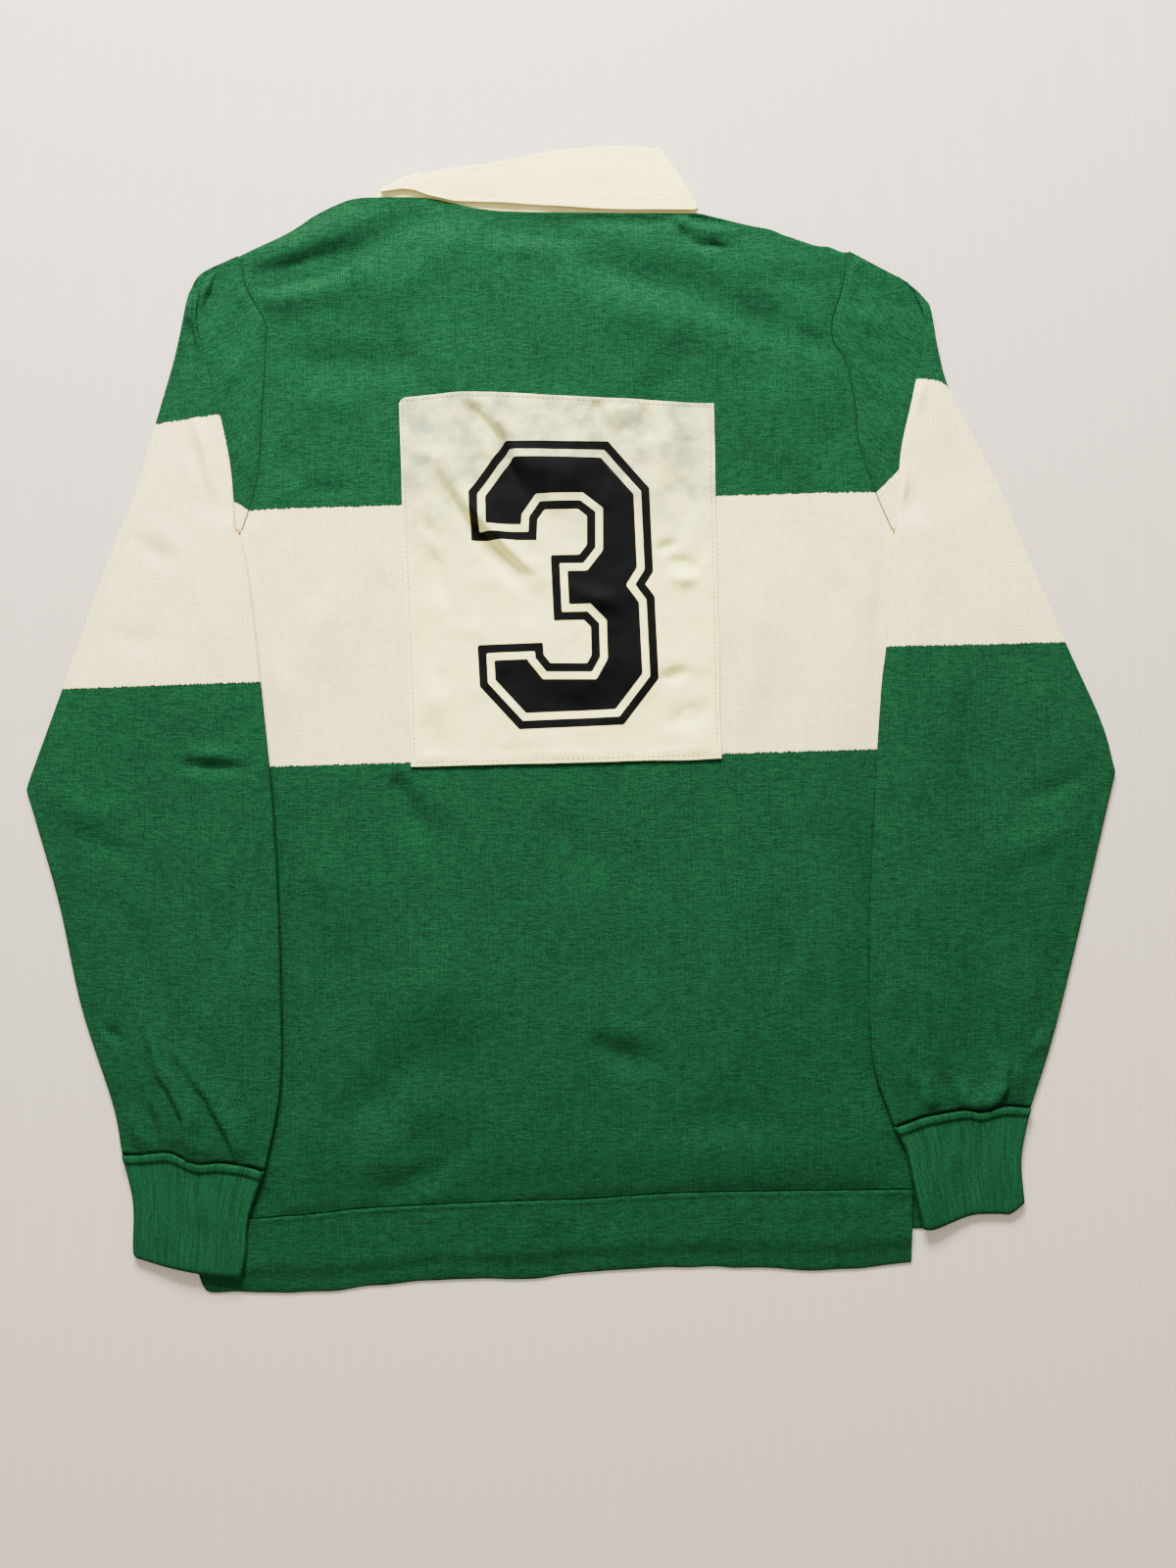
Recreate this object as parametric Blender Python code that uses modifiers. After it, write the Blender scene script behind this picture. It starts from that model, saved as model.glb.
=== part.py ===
"""Sports jersey, laid flat with its back up.

A long-sleeved knitted jersey with a folded woven collar, a number patch on the back, set-in
sleeves folded down beside the body, ribbed cuffs and separate hem bands.

Frame: metres, +Z up, +Y towards the collar, +X the right of a viewer who looks down at it.
The origin is under the middle of the jersey, on the surface that it lies on. Inside this
script every size is in millimetres.
"""
from collections import namedtuple
import math

import bpy
import numpy as np

MM = 0.001

# Cloths and the clear space between neighbouring pieces
KNIT = 1.2
WOVEN = 1.2
PATCH_CLOTH = 1.0
BAND = 1.6
CUFF_CLOTH = 1.5
SEAM = 0.3

# Levels of the flat layers
BACK_UNDER = KNIT + SEAM
BACK_TOP = BACK_UNDER + KNIT
ON_BODY = BACK_UNDER + BAND + SEAM
TUBE = 3.6
CUFF_TUBE = 4.4
WELT = 0.8
WELT_DEPTH = 6.0

# The neck: middle height of the flattened collar, its stand and fall, and how far the
# front and back panels rise to meet the stand
NECK_LEVEL = 3.3
STAND_RADIUS = 1.0
FALL_RADIUS = 2.7
FRONT_NECK_RISE = NECK_LEVEL - STAND_RADIUS - WOVEN / 2
BACK_NECK_RISE = NECK_LEVEL + STAND_RADIUS + WOVEN / 2 - BACK_TOP

# Where the panels rise at the neck: how far past the collar's leaves, and over what way
FRONT_RISE, BACK_RISE = (16, 16), (40, 30)

# The air in the body and in a sleeve, and the way in from an edge over which it swells
BODY_AIR, BODY_SWELL = 1.8, 45
SLEEVE_AIR, SLEEVE_SWELL = 2.0, 60
# Folds of the body start this far from its edges, and also from its hem and shoulders
FOLD_MARGIN, FOLD_RAMP = 8, 14

# The front ends this much above the back, whose band comes down within DROP of its edge,
# and its placket lies between these lines
FRONT_SHORTER = 22.0
DROP_START, DROP = 14.0, 11.0
PLACKET_LEFT, PLACKET_RIGHT = -31.0, -1.0

GREEN = (0.013, 0.162, 0.050)
WARM_WHITE = (0.78, 0.74, 0.66)
IVORY = (0.85, 0.80, 0.66)
CREAM = (0.86, 0.83, 0.68)

# Seams and edges of the body, from the top down: x, y
ARMHOLE_LEFT = ((-212, 297), (-206, 276), (-196, 258), (-194, 245), (-196, 207),
                (-199, 160), (-205, 135), (-210, 120))
ARMHOLE_RIGHT = ((178, 300), (173, 276), (167, 256), (168, 242), (176, 229),
                 (182, 201), (184, 179), (195, 146), (206, 121))
SIDE_LEFT = ((-210, 120), (-220, 91), (-228, 48), (-232, -60), (-235, -319))
SIDE_RIGHT = ((206, 121), (213, 91), (219, 48), (221, -60), (218, -298))

# Edges of the body, from left to right: x, y
SHOULDER_LEFT = ((-212, 297), (-177, 313), (-160, 323), (-139, 332), (-117, 333.5))
NECK_BACK = ((-117, 333.5), (-93, 333), (-72, 329), (-57, 326), (-26, 324), (83, 323))
NECK_FRONT = ((-117, 333.5), (-100, 312), (-75, 284), (-50, 262), (-31, 253),
              (-1, 252), (18, 259), (42, 278), (66, 305), (83, 323))
SHOULDER_RIGHT = ((83, 323), (107, 318), (116, 314), (129, 314), (143, 309), (178, 300))
HEM_SEAM = ((-235, -319), (-167, -314), (-130, -310), (-52, -306), (11, -304),
            (76, -300), (218, -298))
HEM_EDGE = ((-238, -351), (-234, -361), (-223, -365), (-157, -364), (-117, -360),
            (-84, -356), (-27, -356), (11, -352), (115, -348), (159, -350), (218, -346))
PATCH_LEFT = ((-109, 206), (-101, -29))
PATCH_RIGHT = ((91, 203), (96, -24))
PATCH_TOP = ((-109, 206), (-59, 210), (33, 206), (91, 203))
PATCH_FOOT = ((-101, -29), (96, -24))

# The collar's slanted ends, where its back bends round to its front: x, y
COLLAR_END_LEFT = ((-120, 335), (-105, 342.5), (-92, 349))
COLLAR_END_RIGHT = ((79.5, 323.8), (73.2, 336.2), (67.2, 346.2), (54.2, 364.2))
# The way out of the collar at each end: x, y
OUT_LEFT, OUT_RIGHT = (-0.6, 1.28), (0.85, 0.53)
# The collar's front edges from its fold to the point of each leaf: x, y
LEAF_EDGE_LEFT = ((-34, 206), (-19, 255), (-18, 290))
LEAF_EDGE_RIGHT = ((2, 206), (-13, 255), (-14, 290))
# Height of the collar's fold and of its lower edge: share of the way from an end, fold, edge
COLLAR_BACK = ((0, 348, 338), (0.1, 352, 337), (0.25, 354.5, 330.5), (0.4, 358.5, 329.5),
               (0.55, 363, 327.5), (0.7, 365, 325.5), (0.85, 366, 325), (1, 364.5, 324.8))
COLLAR_FRONT_LEFT = ((0, 348, 338), (0.15, 343, 322), (0.4, 317, 278), (0.7, 290, 232),
                     (1, 276, 206))
COLLAR_FRONT_RIGHT = ((0, 364.5, 324.8), (0.15, 352, 312), (0.4, 324, 275), (0.7, 293, 232),
                      (1, 276, 206))
# Lowest reach of the collar's leaves under the front panel: x, y
LEAF_REACH = ((-128, 326), (-34, 206), (2, 206), (83, 312))

# Flat sleeves. A cap lies between the armhole and the crease of the fold in the sleeve head,
# an upper and a lower part follow to the elbow and to the cuff: lines of x, y read downwards
Sleeve = namedtuple("Sleeve", "crease cap_outer upper_inner upper_outer lower_inner "
                    "lower_outer seam_bow")
Cuff = namedtuple("Cuff", "inner outer seam_bow foot_bow")
# A soft trough or ridge of the cloth along a line
Fold = namedtuple("Fold", "x0 y0 x1 y1 half_width height")

SEAM_BOW_LEFT = ((0, 0), (0.09, 2), (0.29, 3), (0.47, 0.5), (0.66, 5.4), (0.87, 1.5), (1, 0))
SEAM_BOW_RIGHT = ((0, 0), (0.12, 2.5), (0.23, 4.3), (0.51, 4.7), (0.64, 1.4), (0.81, 3.3),
                  (1, 0))
SLEEVE_LEFT = Sleeve(
    crease=((-225, 291), (-231, 272), (-235, 252), (-229, 219), (-217, 167), (-213, 121)),
    cap_outer=((-239, 283), (-245, 265), (-252, 234), (-265, 189), (-277, 147)),
    upper_inner=((-210, 120), (-205, 96), (-201, 64), (-197, 28), (-191, -29)),
    upper_outer=((-277, 147), (-299, 91), (-324, 21), (-344, -34), (-347, -44)),
    lower_inner=((-191, -29), (-187, -81), (-184, -159), (-184, -231), (-194, -286)),
    lower_outer=((-347, -44), (-341, -64), (-326, -117), (-312, -182), (-292, -244),
                 (-286, -276)),
    seam_bow=SEAM_BOW_LEFT)
SLEEVE_RIGHT = Sleeve(
    crease=((209, 284), (216, 268), (220, 250), (220, 227), (215, 191), (209, 122)),
    cap_outer=((227, 269), (231, 258), (235, 236), (242, 212), (260, 177), (274, 150)),
    upper_inner=((206, 121), (203, 86), (201, 48), (198, 23), (194, -37)),
    upper_outer=((274, 150), (296, 98), (316, 51), (339, 0), (348, -32)),
    lower_inner=((194, -37), (191, -99), (190, -164), (193, -218), (206, -258)),
    lower_outer=((348, -32), (341, -62), (320, -154), (307, -205), (294, -246)),
    seam_bow=SEAM_BOW_RIGHT)
CUFF_LEFT = Cuff(
    inner=((-194, -286), (-204, -315), (-206, -340), (-209, -354)),
    outer=((-286, -276), (-279, -306), (-279, -336), (-277, -342)),
    seam_bow=SEAM_BOW_LEFT,
    foot_bow=((0, 0), (0.16, -1), (0.41, -2), (0.72, -1.6), (1, 0)))
CUFF_RIGHT = Cuff(
    inner=((206, -258), (215, -273), (220, -292), (226, -323)),
    outer=((294, -246), (289, -270), (288, -285), (290, -307)),
    seam_bow=SEAM_BOW_RIGHT,
    foot_bow=((0, 0), (0.12, -2), (0.47, 0.5), (0.75, -3), (0.86, -4.7), (1, 0)))

UNDERARM_LEFT, UNDERARM_RIGHT = ARMHOLE_LEFT[-1][1], ARMHOLE_RIGHT[-1][1]
# The slope where a sleeve comes down beside the body, measured outwards from its edge, and
# where a sleeve has come down on the back panel, measured up from the underarm
SLOPE_START, SLOPE_END = 6.0, 18.0
REST_START, REST_RAMP = 18, 17
# Points of a sleeve's row over the top: the cap or the curl of the inner edge takes 4
CAP_SHARES = (0, 0.12, 0.28, 0.46, 0.64, 0.82, 1)
SLEEVE_POINTS = 4 + len(CAP_SHARES) + 2
# The fold over the cap: its step at the crease, how high it stands by rows, and how far
# from the crease it has died down
PLEAT_STEP = 1.6
PLEAT_HEIGHTS = (0, 0.6, 2.6, 0)
PLEAT_FADE = 35
OUTER_ROLL = 1.8
CAP_EDGE = 4.0
CAP_EDGE_ROLL = 0.92
CUFF_DEPTH = 69.0
CUFF_GAP = 0.5
# Curl of a sleeve's inner edge, and of its first row below the underarm, where it is half
# way round: way in from the edge, roll
INNER_CURL = ((0, 0.083), (0, 0.5), (0.9, 0.92), (2.2, 1), (4, 1))
HALF_CURL = ((0, 0.57), (0.6, 0.89), (1.3, 1), (2.6, 1), (4, 1))
# Cells of the panels between their lines: across, and upwards. The armholes end 4 rows below
# the patch's top, and the front's slit starts 5 rows below it
BACK_COLUMNS, BACK_ROWS = (8, 12, 8), (11, 11, 7)
FRONT_COLUMNS, FRONT_ROWS = (9, 1, 9), (7, 11, 7)
UNDERARM_ROW = BACK_ROWS[0] + BACK_ROWS[1] - 4
SLIT_ROW = FRONT_ROWS[0] + FRONT_ROWS[1] - 5
# Rows of the sleeves below the cap, as shares of the upper and the lower part
UPPER_ROWS = (0.06, 0.15, 0.28, 0.42, 0.56, 0.7, 0.84, 1)
LOWER_ROWS = (0.12, 0.25, 0.38, 0.5, 0.62, 0.74, 0.84, 0.92, 1)

BODY_FOLDS = (
    Fold(-110, 308, -202, 281, 15, -1.5),
    Fold(-14, 302, 74, 273, 17, -1.3),
    Fold(74, 273, 161, 235, 16, -1.3),
    Fold(74, 312, 100, 301, 9, -1.2),
    Fold(148, 251, 160, 228, 9, -1.2),
    Fold(-84, 156, -52, 118, 14, -1.3),
    Fold(-52, 118, -25, 79, 14, -1.3),
    Fold(-111, -37, -89, -81, 12, -1.4),
    Fold(11, -206, 58, -221, 14, 1.4),
    Fold(138, -136, 140, -176, 12, 1.2),
    Fold(-150, 60, -140, -90, 20, 1.1),
    Fold(140, 150, 165, 40, 18, 1.1),
    Fold(-60, -120, -90, -250, 20, 1.0),
)
SLEEVE_FOLDS = (
    Fold(-238, 192, -223, 131, 9, 1.3),
    Fold(-276, 116, -251, 98, 8, -1.2),
    Fold(-247, -28, -201, -30, 8, -1.6),
    Fold(-300, -70, -262, -90, 12, 1.2),
    Fold(-272, -197, -244, -257, 8, -1.8),
    Fold(-244, -257, -243, -276, 6, -1.8),
    Fold(-252, -207, -218, -262, 8, -1.8),
    Fold(-218, -262, -212, -279, 6, -1.6),
    Fold(-232, -215, -226, -262, 8, 1.2),
    Fold(222, 222, 207, 133, 8, 1.2),
    Fold(265, 60, 300, 20, 12, -1.2),
    Fold(247, -226, 250, -244, 6, -1.6),
    Fold(250, -246, 272, -245, 5, -1.6),
    Fold(275, -241, 280, -215, 6, -1.6),
    Fold(255, -215, 265, -238, 9, 1.4),
    Fold(228, -215, 242, -246, 8, -1.3),
)


def smooth(t):
    """Ease from 0 to 1."""
    t = np.clip(t, 0.0, 1.0)
    return t * t * (3 - 2 * t)


def curve(points, steps=8):
    """Points of a Catmull-Rom curve through the points of a table."""
    p = np.array(points, float)
    p = np.vstack([2 * p[0] - p[1], p, 2 * p[-1] - p[-2]])
    t = np.linspace(0, 1, steps, endpoint=False)[:, None]
    spans = []
    for a, b, c, d in zip(p, p[1:], p[2:], p[3:]):
        spans.append(0.5 * (2 * b + (c - a) * t + (2 * a - 5 * b + 4 * c - d) * t ** 2
                            + (3 * b - a - 3 * c + d) * t ** 3))
    return np.vstack(spans + [p[-2][None]])


def along(points, shares):
    """Points at shares of the length of the curve through a table."""
    line = curve(points)
    length = np.concatenate([[0], np.cumsum(np.hypot(*np.diff(line, axis=0).T))])
    want = np.asarray(shares) * length[-1]
    return np.stack([np.interp(want, length, line[:, axis]) for axis in (0, 1)], axis=-1)


def x_at(points, y):
    """Where the curve through a table, read up or down, has the height y."""
    line = curve(points)
    line = line[np.argsort(line[:, 1])]
    return np.interp(y, line[:, 1], line[:, 0])


def y_at(points, x):
    """How high the curve through a table is at x."""
    line = curve(points)
    return np.interp(x, line[:, 0], line[:, 1])


def straight(points, y):
    """x at the height y on the straight line through two points, past its ends too."""
    (x0, y0), (x1, y1) = points
    return x0 + (x1 - x0) * (y - y0) / (y1 - y0)


def folds_height(folds, x, y):
    """Sum of soft troughs and ridges, each fading out at its half width from its line."""
    total = np.zeros_like(x)
    for fold in folds:
        run = np.array([fold.x1 - fold.x0, fold.y1 - fold.y0], float)
        share = ((x - fold.x0) * run[0] + (y - fold.y0) * run[1]) / (run @ run)
        share = np.clip(share, 0, 1)
        away = np.hypot(x - fold.x0 - share * run[0], y - fold.y0 - share * run[1])
        total += fold.height * (1 - smooth(away / fold.half_width))
    return total


def body_left(y):
    """Left edge of the body panels: the armhole seam, then the side."""
    return np.where(y > UNDERARM_LEFT, x_at(ARMHOLE_LEFT, y), x_at(SIDE_LEFT, y))


def body_right(y):
    """Right edge of the body panels."""
    return np.where(y > UNDERARM_RIGHT, x_at(ARMHOLE_RIGHT, y), x_at(SIDE_RIGHT, y))


def top_line(neck, x):
    """Shoulders and a neckline as one line."""
    shoulders = np.where(x < -117, y_at(SHOULDER_LEFT, x), y_at(SHOULDER_RIGHT, x))
    return np.where((x >= -117) & (x <= 83), y_at(neck, x), shoulders)


def neck_rise(x, y, reach, ramp):
    """0 on the flat of the body, 1 over the collar's leaves and up to reach past them."""
    leaf = np.interp(x, *np.array(LEAF_REACH).T)
    rise = smooth((y - leaf + reach + ramp) / ramp)
    rise = rise * smooth((x - COLLAR_END_LEFT[0][0] + reach + ramp) / ramp)
    return rise * smooth((COLLAR_END_RIGHT[0][0] + reach + ramp - x) / ramp)


def front_height(x, y):
    """Upper face of the front panel."""
    return KNIT + FRONT_NECK_RISE * neck_rise(x, y, *FRONT_RISE)


def back_height(x, y):
    """Upper face of the back panel: flat at the edges, a little air and folds between."""
    left = np.where(y > UNDERARM_LEFT, x_at(ARMHOLE_LEFT, y), inner_edge(SLEEVE_LEFT, y))
    right = np.where(y > UNDERARM_RIGHT, x_at(ARMHOLE_RIGHT, y), inner_edge(SLEEVE_RIGHT, y))
    side = np.minimum(x - left, right - x)
    end = np.minimum(top_line(NECK_BACK, x) - y, y - y_at(HEM_SEAM, x))
    air = BODY_AIR * smooth(side / BODY_SWELL) * smooth(end / BODY_SWELL)
    creases = folds_height(BODY_FOLDS, x, y) * smooth(side / FOLD_RAMP)
    creases *= smooth((end - FOLD_MARGIN) / FOLD_RAMP)
    return BACK_TOP + BACK_NECK_RISE * neck_rise(x, y, *BACK_RISE) + np.maximum(air + creases, 0)


def inner_edge(sleeve, y):
    """The edge of a sleeve that lies on the body, below the armhole."""
    upper, lower = x_at(sleeve.upper_inner, y), x_at(sleeve.lower_inner, y)
    return np.where(y > sleeve.lower_inner[0][1], upper, lower)


def support(x, y):
    """What a sleeve or cuff lies on: the surface outside the body, the back panel inside.

    The cloth comes down in a slope that starts outside the body's edge.
    """
    slope = (body_inside(x, y) + SLOPE_END) / (SLOPE_END - SLOPE_START)
    return ON_BODY * smooth(slope) * smooth((UNDERARM_LEFT + REST_START - y) / REST_RAMP)


def body_inside(x, y):
    """How far a place is inside the body's side edges, less than 0 outside."""
    return np.minimum(x - x_at(SIDE_LEFT, y), x_at(SIDE_RIGHT, y) - x)


def material(name, colour, roughness):
    """A plain cloth material."""
    mat = bpy.data.materials.new(name)
    mat.use_nodes = True
    shader = mat.node_tree.nodes["Principled BSDF"]
    shader.inputs["Base Color"].default_value = (*colour, 1)
    shader.inputs["Roughness"].default_value = roughness
    shader.inputs["Metallic"].default_value = 0
    return mat


def grid_faces(rows, columns, flip=False, skip=()):
    """Faces of a grid of points, without the cells in skip."""
    faces = []
    for i in range(rows - 1):
        for j in range(columns - 1):
            a = i * columns + j
            face = (a, a + 1, a + columns + 1, a + columns)
            if (i, j) not in skip:
                faces.append(face[::-1] if flip else face)
    return faces


def cloth_piece(name, points, faces, thickness, mat, middle=False, even=True):
    """Give an open surface its thickness, behind its face or to both sides.

    An even wall keeps its thickness round its corners, the other kind rounds them off.
    """
    mesh = bpy.data.meshes.new(name)
    mesh.from_pydata((points.reshape(-1, 3) * MM).tolist(), [], faces)
    mesh.materials.append(mat)
    mesh.shade_smooth()
    obj = bpy.data.objects.new(name, mesh)
    pieces.objects.link(obj)
    wall = obj.modifiers.new("cloth", "SOLIDIFY")
    wall.thickness = thickness * MM
    wall.offset = 0 if middle else -1
    wall.use_even_offset = even
    wall.use_quality_normals = True
    return obj


def spread(lines, counts):
    """Shares between neighbouring lines: which line, and how far on to the next."""
    places = []
    for line, count in enumerate(counts):
        places += [(line, step / count) for step in range(count)]
    return places + [(lines - 2, 1.0)]


def panel_plan(across, upward, across_counts, upward_counts):
    """Plan of a panel between lines that run up it and lines that run across it.

    Each point is where a line blended from two neighbours of one kind meets one blended
    from two neighbours of the other kind, found by going back and forth between them.
    """
    columns = spread(len(across), across_counts)
    rows = spread(len(upward), upward_counts)
    x = np.zeros((len(rows), len(columns)))
    y = np.zeros((len(rows), len(columns)))
    for _ in range(12):
        for j, (line, part) in enumerate(columns):
            x[:, j] = (1 - part) * across[line](y[:, j]) + part * across[line + 1](y[:, j])
        for i, (line, part) in enumerate(rows):
            y[i] = (1 - part) * upward[line](x[i]) + part * upward[line + 1](x[i])
    return x, y


def back_panel():
    """The back, which the patch lies on, in three blocks each way round the patch."""
    x, y = panel_plan(
        (body_left, lambda y: straight(PATCH_LEFT, y), lambda y: straight(PATCH_RIGHT, y),
         body_right),
        (lambda x: y_at(HEM_SEAM, x), lambda x: y_at(PATCH_FOOT, x),
         lambda x: y_at(PATCH_TOP, x), lambda x: top_line(NECK_BACK, x)),
        BACK_COLUMNS, BACK_ROWS)
    return np.stack([x, y, back_height(x, y)], axis=-1)


def front_panel():
    """The front, with rows that meet the back's rows at the armholes."""
    x, y = panel_plan(
        (body_left, lambda y: PLACKET_LEFT - SEAM + 0 * y,
         lambda y: PLACKET_RIGHT + SEAM + 0 * y, body_right),
        (lambda x: y_at(HEM_SEAM, x) + FRONT_SHORTER, lambda x: y_at(PATCH_FOOT, x),
         lambda x: y_at(PATCH_TOP, x), lambda x: top_line(NECK_FRONT, x)),
        FRONT_COLUMNS, FRONT_ROWS)
    return np.stack([x, y, front_height(x, y)], axis=-1)


def placket(front):
    """A plain strip in the front's slit, made from the front's points beside it, moved in."""
    column = FRONT_COLUMNS[0]
    points = front[SLIT_ROW:, column:column + 2].copy()
    points[:, 0, 0] += SEAM
    points[:, 1, 0] -= SEAM
    points[0, :, 1] += SEAM
    return points


def patch(back):
    """The number patch, made from the back panel's own points under it, moved up."""
    rows = slice(BACK_ROWS[0], BACK_ROWS[0] + BACK_ROWS[1] + 1)
    columns = slice(BACK_COLUMNS[0], BACK_COLUMNS[0] + BACK_COLUMNS[1] + 1)
    points = back[rows, columns].copy()
    points[..., 2] += SEAM + PATCH_CLOTH
    return points


def hem_band(x_left, x_right, raised, thickness, on_front):
    """A hem band below its seam. The back one reaches past the front and comes down there."""
    share = np.linspace(0, 1, 29)
    depth = np.array([0, 0.3, 0.55, 0.8, 1])[:, None]
    x_top = x_left[0] + (x_right[0] - x_left[0]) * share
    x_foot = x_left[1] + (x_right[1] - x_left[1]) * share
    x = x_top + (x_foot - x_top) * depth
    seam = y_at(HEM_SEAM, x_top) + raised - SEAM
    foot = y_at(HEM_EDGE, x_foot) + raised
    y = seam + (foot - seam) * depth
    under = np.zeros_like(x)
    if on_front:
        front_foot = y_at(HEM_EDGE, x) + FRONT_SHORTER
        under = BACK_UNDER * smooth((y - front_foot + DROP_START) / DROP)
    return np.stack([x, y, under + thickness], axis=-1)[::-1]


def sleeve_rows(sleeve, armhole):
    """Inner, crease and outer points of the rows of a sleeve, from the cap to the cuff.

    The rows of the cap start at the back panel's own points on the armhole, with one row
    more next to the first, where the cloth turns down into the fold on top of the cap.
    """
    way = armhole[1] - armhole[0]
    second = armhole[0] + way * CAP_EDGE / np.hypot(*way)
    armhole = np.vstack([armhole[:1], second[None], armhole[1:]])
    length = np.concatenate([[0], np.cumsum(np.hypot(*np.diff(armhole, axis=0).T))])
    cap = [along(line, length / length[-1]) for line in (sleeve.crease, sleeve.cap_outer)]
    upper = [along(line, UPPER_ROWS) for line in (sleeve.upper_inner, sleeve.upper_outer)]
    lower = [along(line, LOWER_ROWS) for line in (sleeve.lower_inner, sleeve.lower_outer)]
    inner = np.vstack([armhole, upper[0], lower[0]])
    crease = np.vstack([cap[0], upper[0], lower[0]])
    outer = np.vstack([cap[1], upper[1], lower[1]])
    return inner, crease, outer, len(armhole)


def flat_row(start, end, shares):
    """Points from start to end at shares of the flat of a row, and the curl at its end."""
    length = np.hypot(*(end - start))
    flat = 1 - OUTER_ROLL / length
    shares = np.array([share * flat for share in shares] + [1 - 0.3 * OUTER_ROLL / length, 1])
    return start + (end - start) * shares[:, None], shares * length


def closed_row(a, b, curl=INNER_CURL):
    """Plan and roll of a row of a closed tube, from its inner edge a to its outer edge b.

    Its points are set so that one lies above each end of the slope beside the body.
    """
    out = (b - a) / np.hypot(*(b - a))
    inner = np.array([a + out * step for step, _ in curl[:-1]])
    start = a + out * INNER_CURL[-1][0]
    trial = np.linspace(0, 1, 400)
    inside = body_inside(*(start + (b - start) * trial[:, None]).T)
    top_of_slope = max(0.04, np.sum(inside > -SLOPE_START) / 400)
    foot_of_slope = max(top_of_slope + 0.05, np.sum(inside > -SLOPE_END) / 400)
    rest = (1 - foot_of_slope) / 3
    shares = (0, top_of_slope / 2, top_of_slope, foot_of_slope, foot_of_slope + rest,
              foot_of_slope + 2 * rest, 1)
    flat, _ = flat_row(start, b, shares)
    roll = [share for _, share in curl[:-1]] + [1] * len(shares) + [0.7, 0]
    return np.vstack([inner, flat]), np.array(roll)


def tube_row(plan, roll, height, top):
    """Outer face of one row: over the top, and back underneath."""
    x, y = plan.T
    lie = support(x, y)
    lie[:4] = lie[4]
    above = np.stack([x, y, lie + height / 2 + (top - height / 2) * roll], axis=-1)
    below = np.stack([x, y, lie + height / 2 * (1 - roll)], axis=-1)
    return above, below


def sleeve_surface(sleeve, armhole):
    """Outer face of a flat sleeve, in rows from the cap to the cuff.

    A row runs over the top from the inner edge to the outer fold, and back underneath. In
    the cap it starts and ends at the armhole, and its top steps up at the crease, where the
    sleeve is folded over the cap. Below that its two ends meet in the underarm seam, which
    stays open by the clear space. The roll of a row is 1 where the two layers lie flat and
    0 where they meet in a fold.
    """
    inner, crease, outer, cap_rows = sleeve_rows(sleeve, armhole)
    rows = len(inner)
    pleat = np.interp(np.arange(rows), (0, 3, cap_rows - 1, cap_rows + 2),
                      PLEAT_HEIGHTS)
    bow_share = smooth((np.arange(rows) - rows + 5) / 4)
    from_ends = np.arange(SLEEVE_POINTS)
    from_ends = smooth(np.minimum(from_ends / 5, (SLEEVE_POINTS - 1 - from_ends) / 4))
    surface = []
    for i in range(rows):
        a, k, b = inner[i], crease[i], outer[i]
        height = np.full(SLEEVE_POINTS, TUBE)
        past_crease = np.zeros(SLEEVE_POINTS)
        if i < cap_rows:
            out = (b - a) / np.hypot(*(b - a))
            seam_edge = a + out * (SEAM + (0.9, 0.3)[i] if i < 2 else SEAM)
            cap = np.array([seam_edge + (k - seam_edge) * share / 3 for share in range(4)])
            past = (b - k) / np.hypot(*(b - k))
            flat, past_crease[4:] = flat_row(k + past * PLEAT_STEP, b, CAP_SHARES)
            plan = np.vstack([cap, flat])
            roll = np.concatenate([np.ones(4 + len(CAP_SHARES)), [0.7, 0]])
            roll *= CAP_EDGE_ROLL if i == 0 else 1
            height[:3] = BACK_TOP if i < cap_rows - 1 else TUBE
            height[3] = (BACK_TOP + TUBE) / 2
            past_crease[:4] = np.inf
        else:
            plan, roll = closed_row(a, b, HALF_CURL if i == cap_rows else INNER_CURL)
        from_edge = np.hypot(*(plan - a).T) / np.hypot(*(b - a))
        plan[:, 1] += bow_share[i] * np.interp(from_edge, *np.array(sleeve.seam_bow).T)
        lift = pleat[i] * (1 - smooth(past_crease / PLEAT_FADE))
        if i >= cap_rows:
            lift = pleat[i] * from_ends
        air = SLEEVE_AIR * from_ends * min(1, np.hypot(*(b - k)) / SLEEVE_SWELL)
        creases = folds_height(SLEEVE_FOLDS, *plan.T) * from_ends
        waves = np.maximum(air + creases, -0.3) * (0 < i < rows - 1)
        above, below = tube_row(plan, roll, height, height + lift + waves)
        surface.append(np.vstack([above, below[-2::-1]]))
    return np.array(surface)


def sleeve_faces(surface, flip):
    """Faces of a sleeve, with the fold along the top of its cap closed."""
    rows, columns = surface.shape[:2]
    faces = grid_faces(rows, columns, flip)
    for j in range(SLEEVE_POINTS - 1):
        face = (j + 1, j, columns - 1 - j, columns - 2 - j)
        if j == SLEEVE_POINTS - 2:
            face = face[:3]
        faces.append(face[::-1] if flip else face)
    return faces


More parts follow.
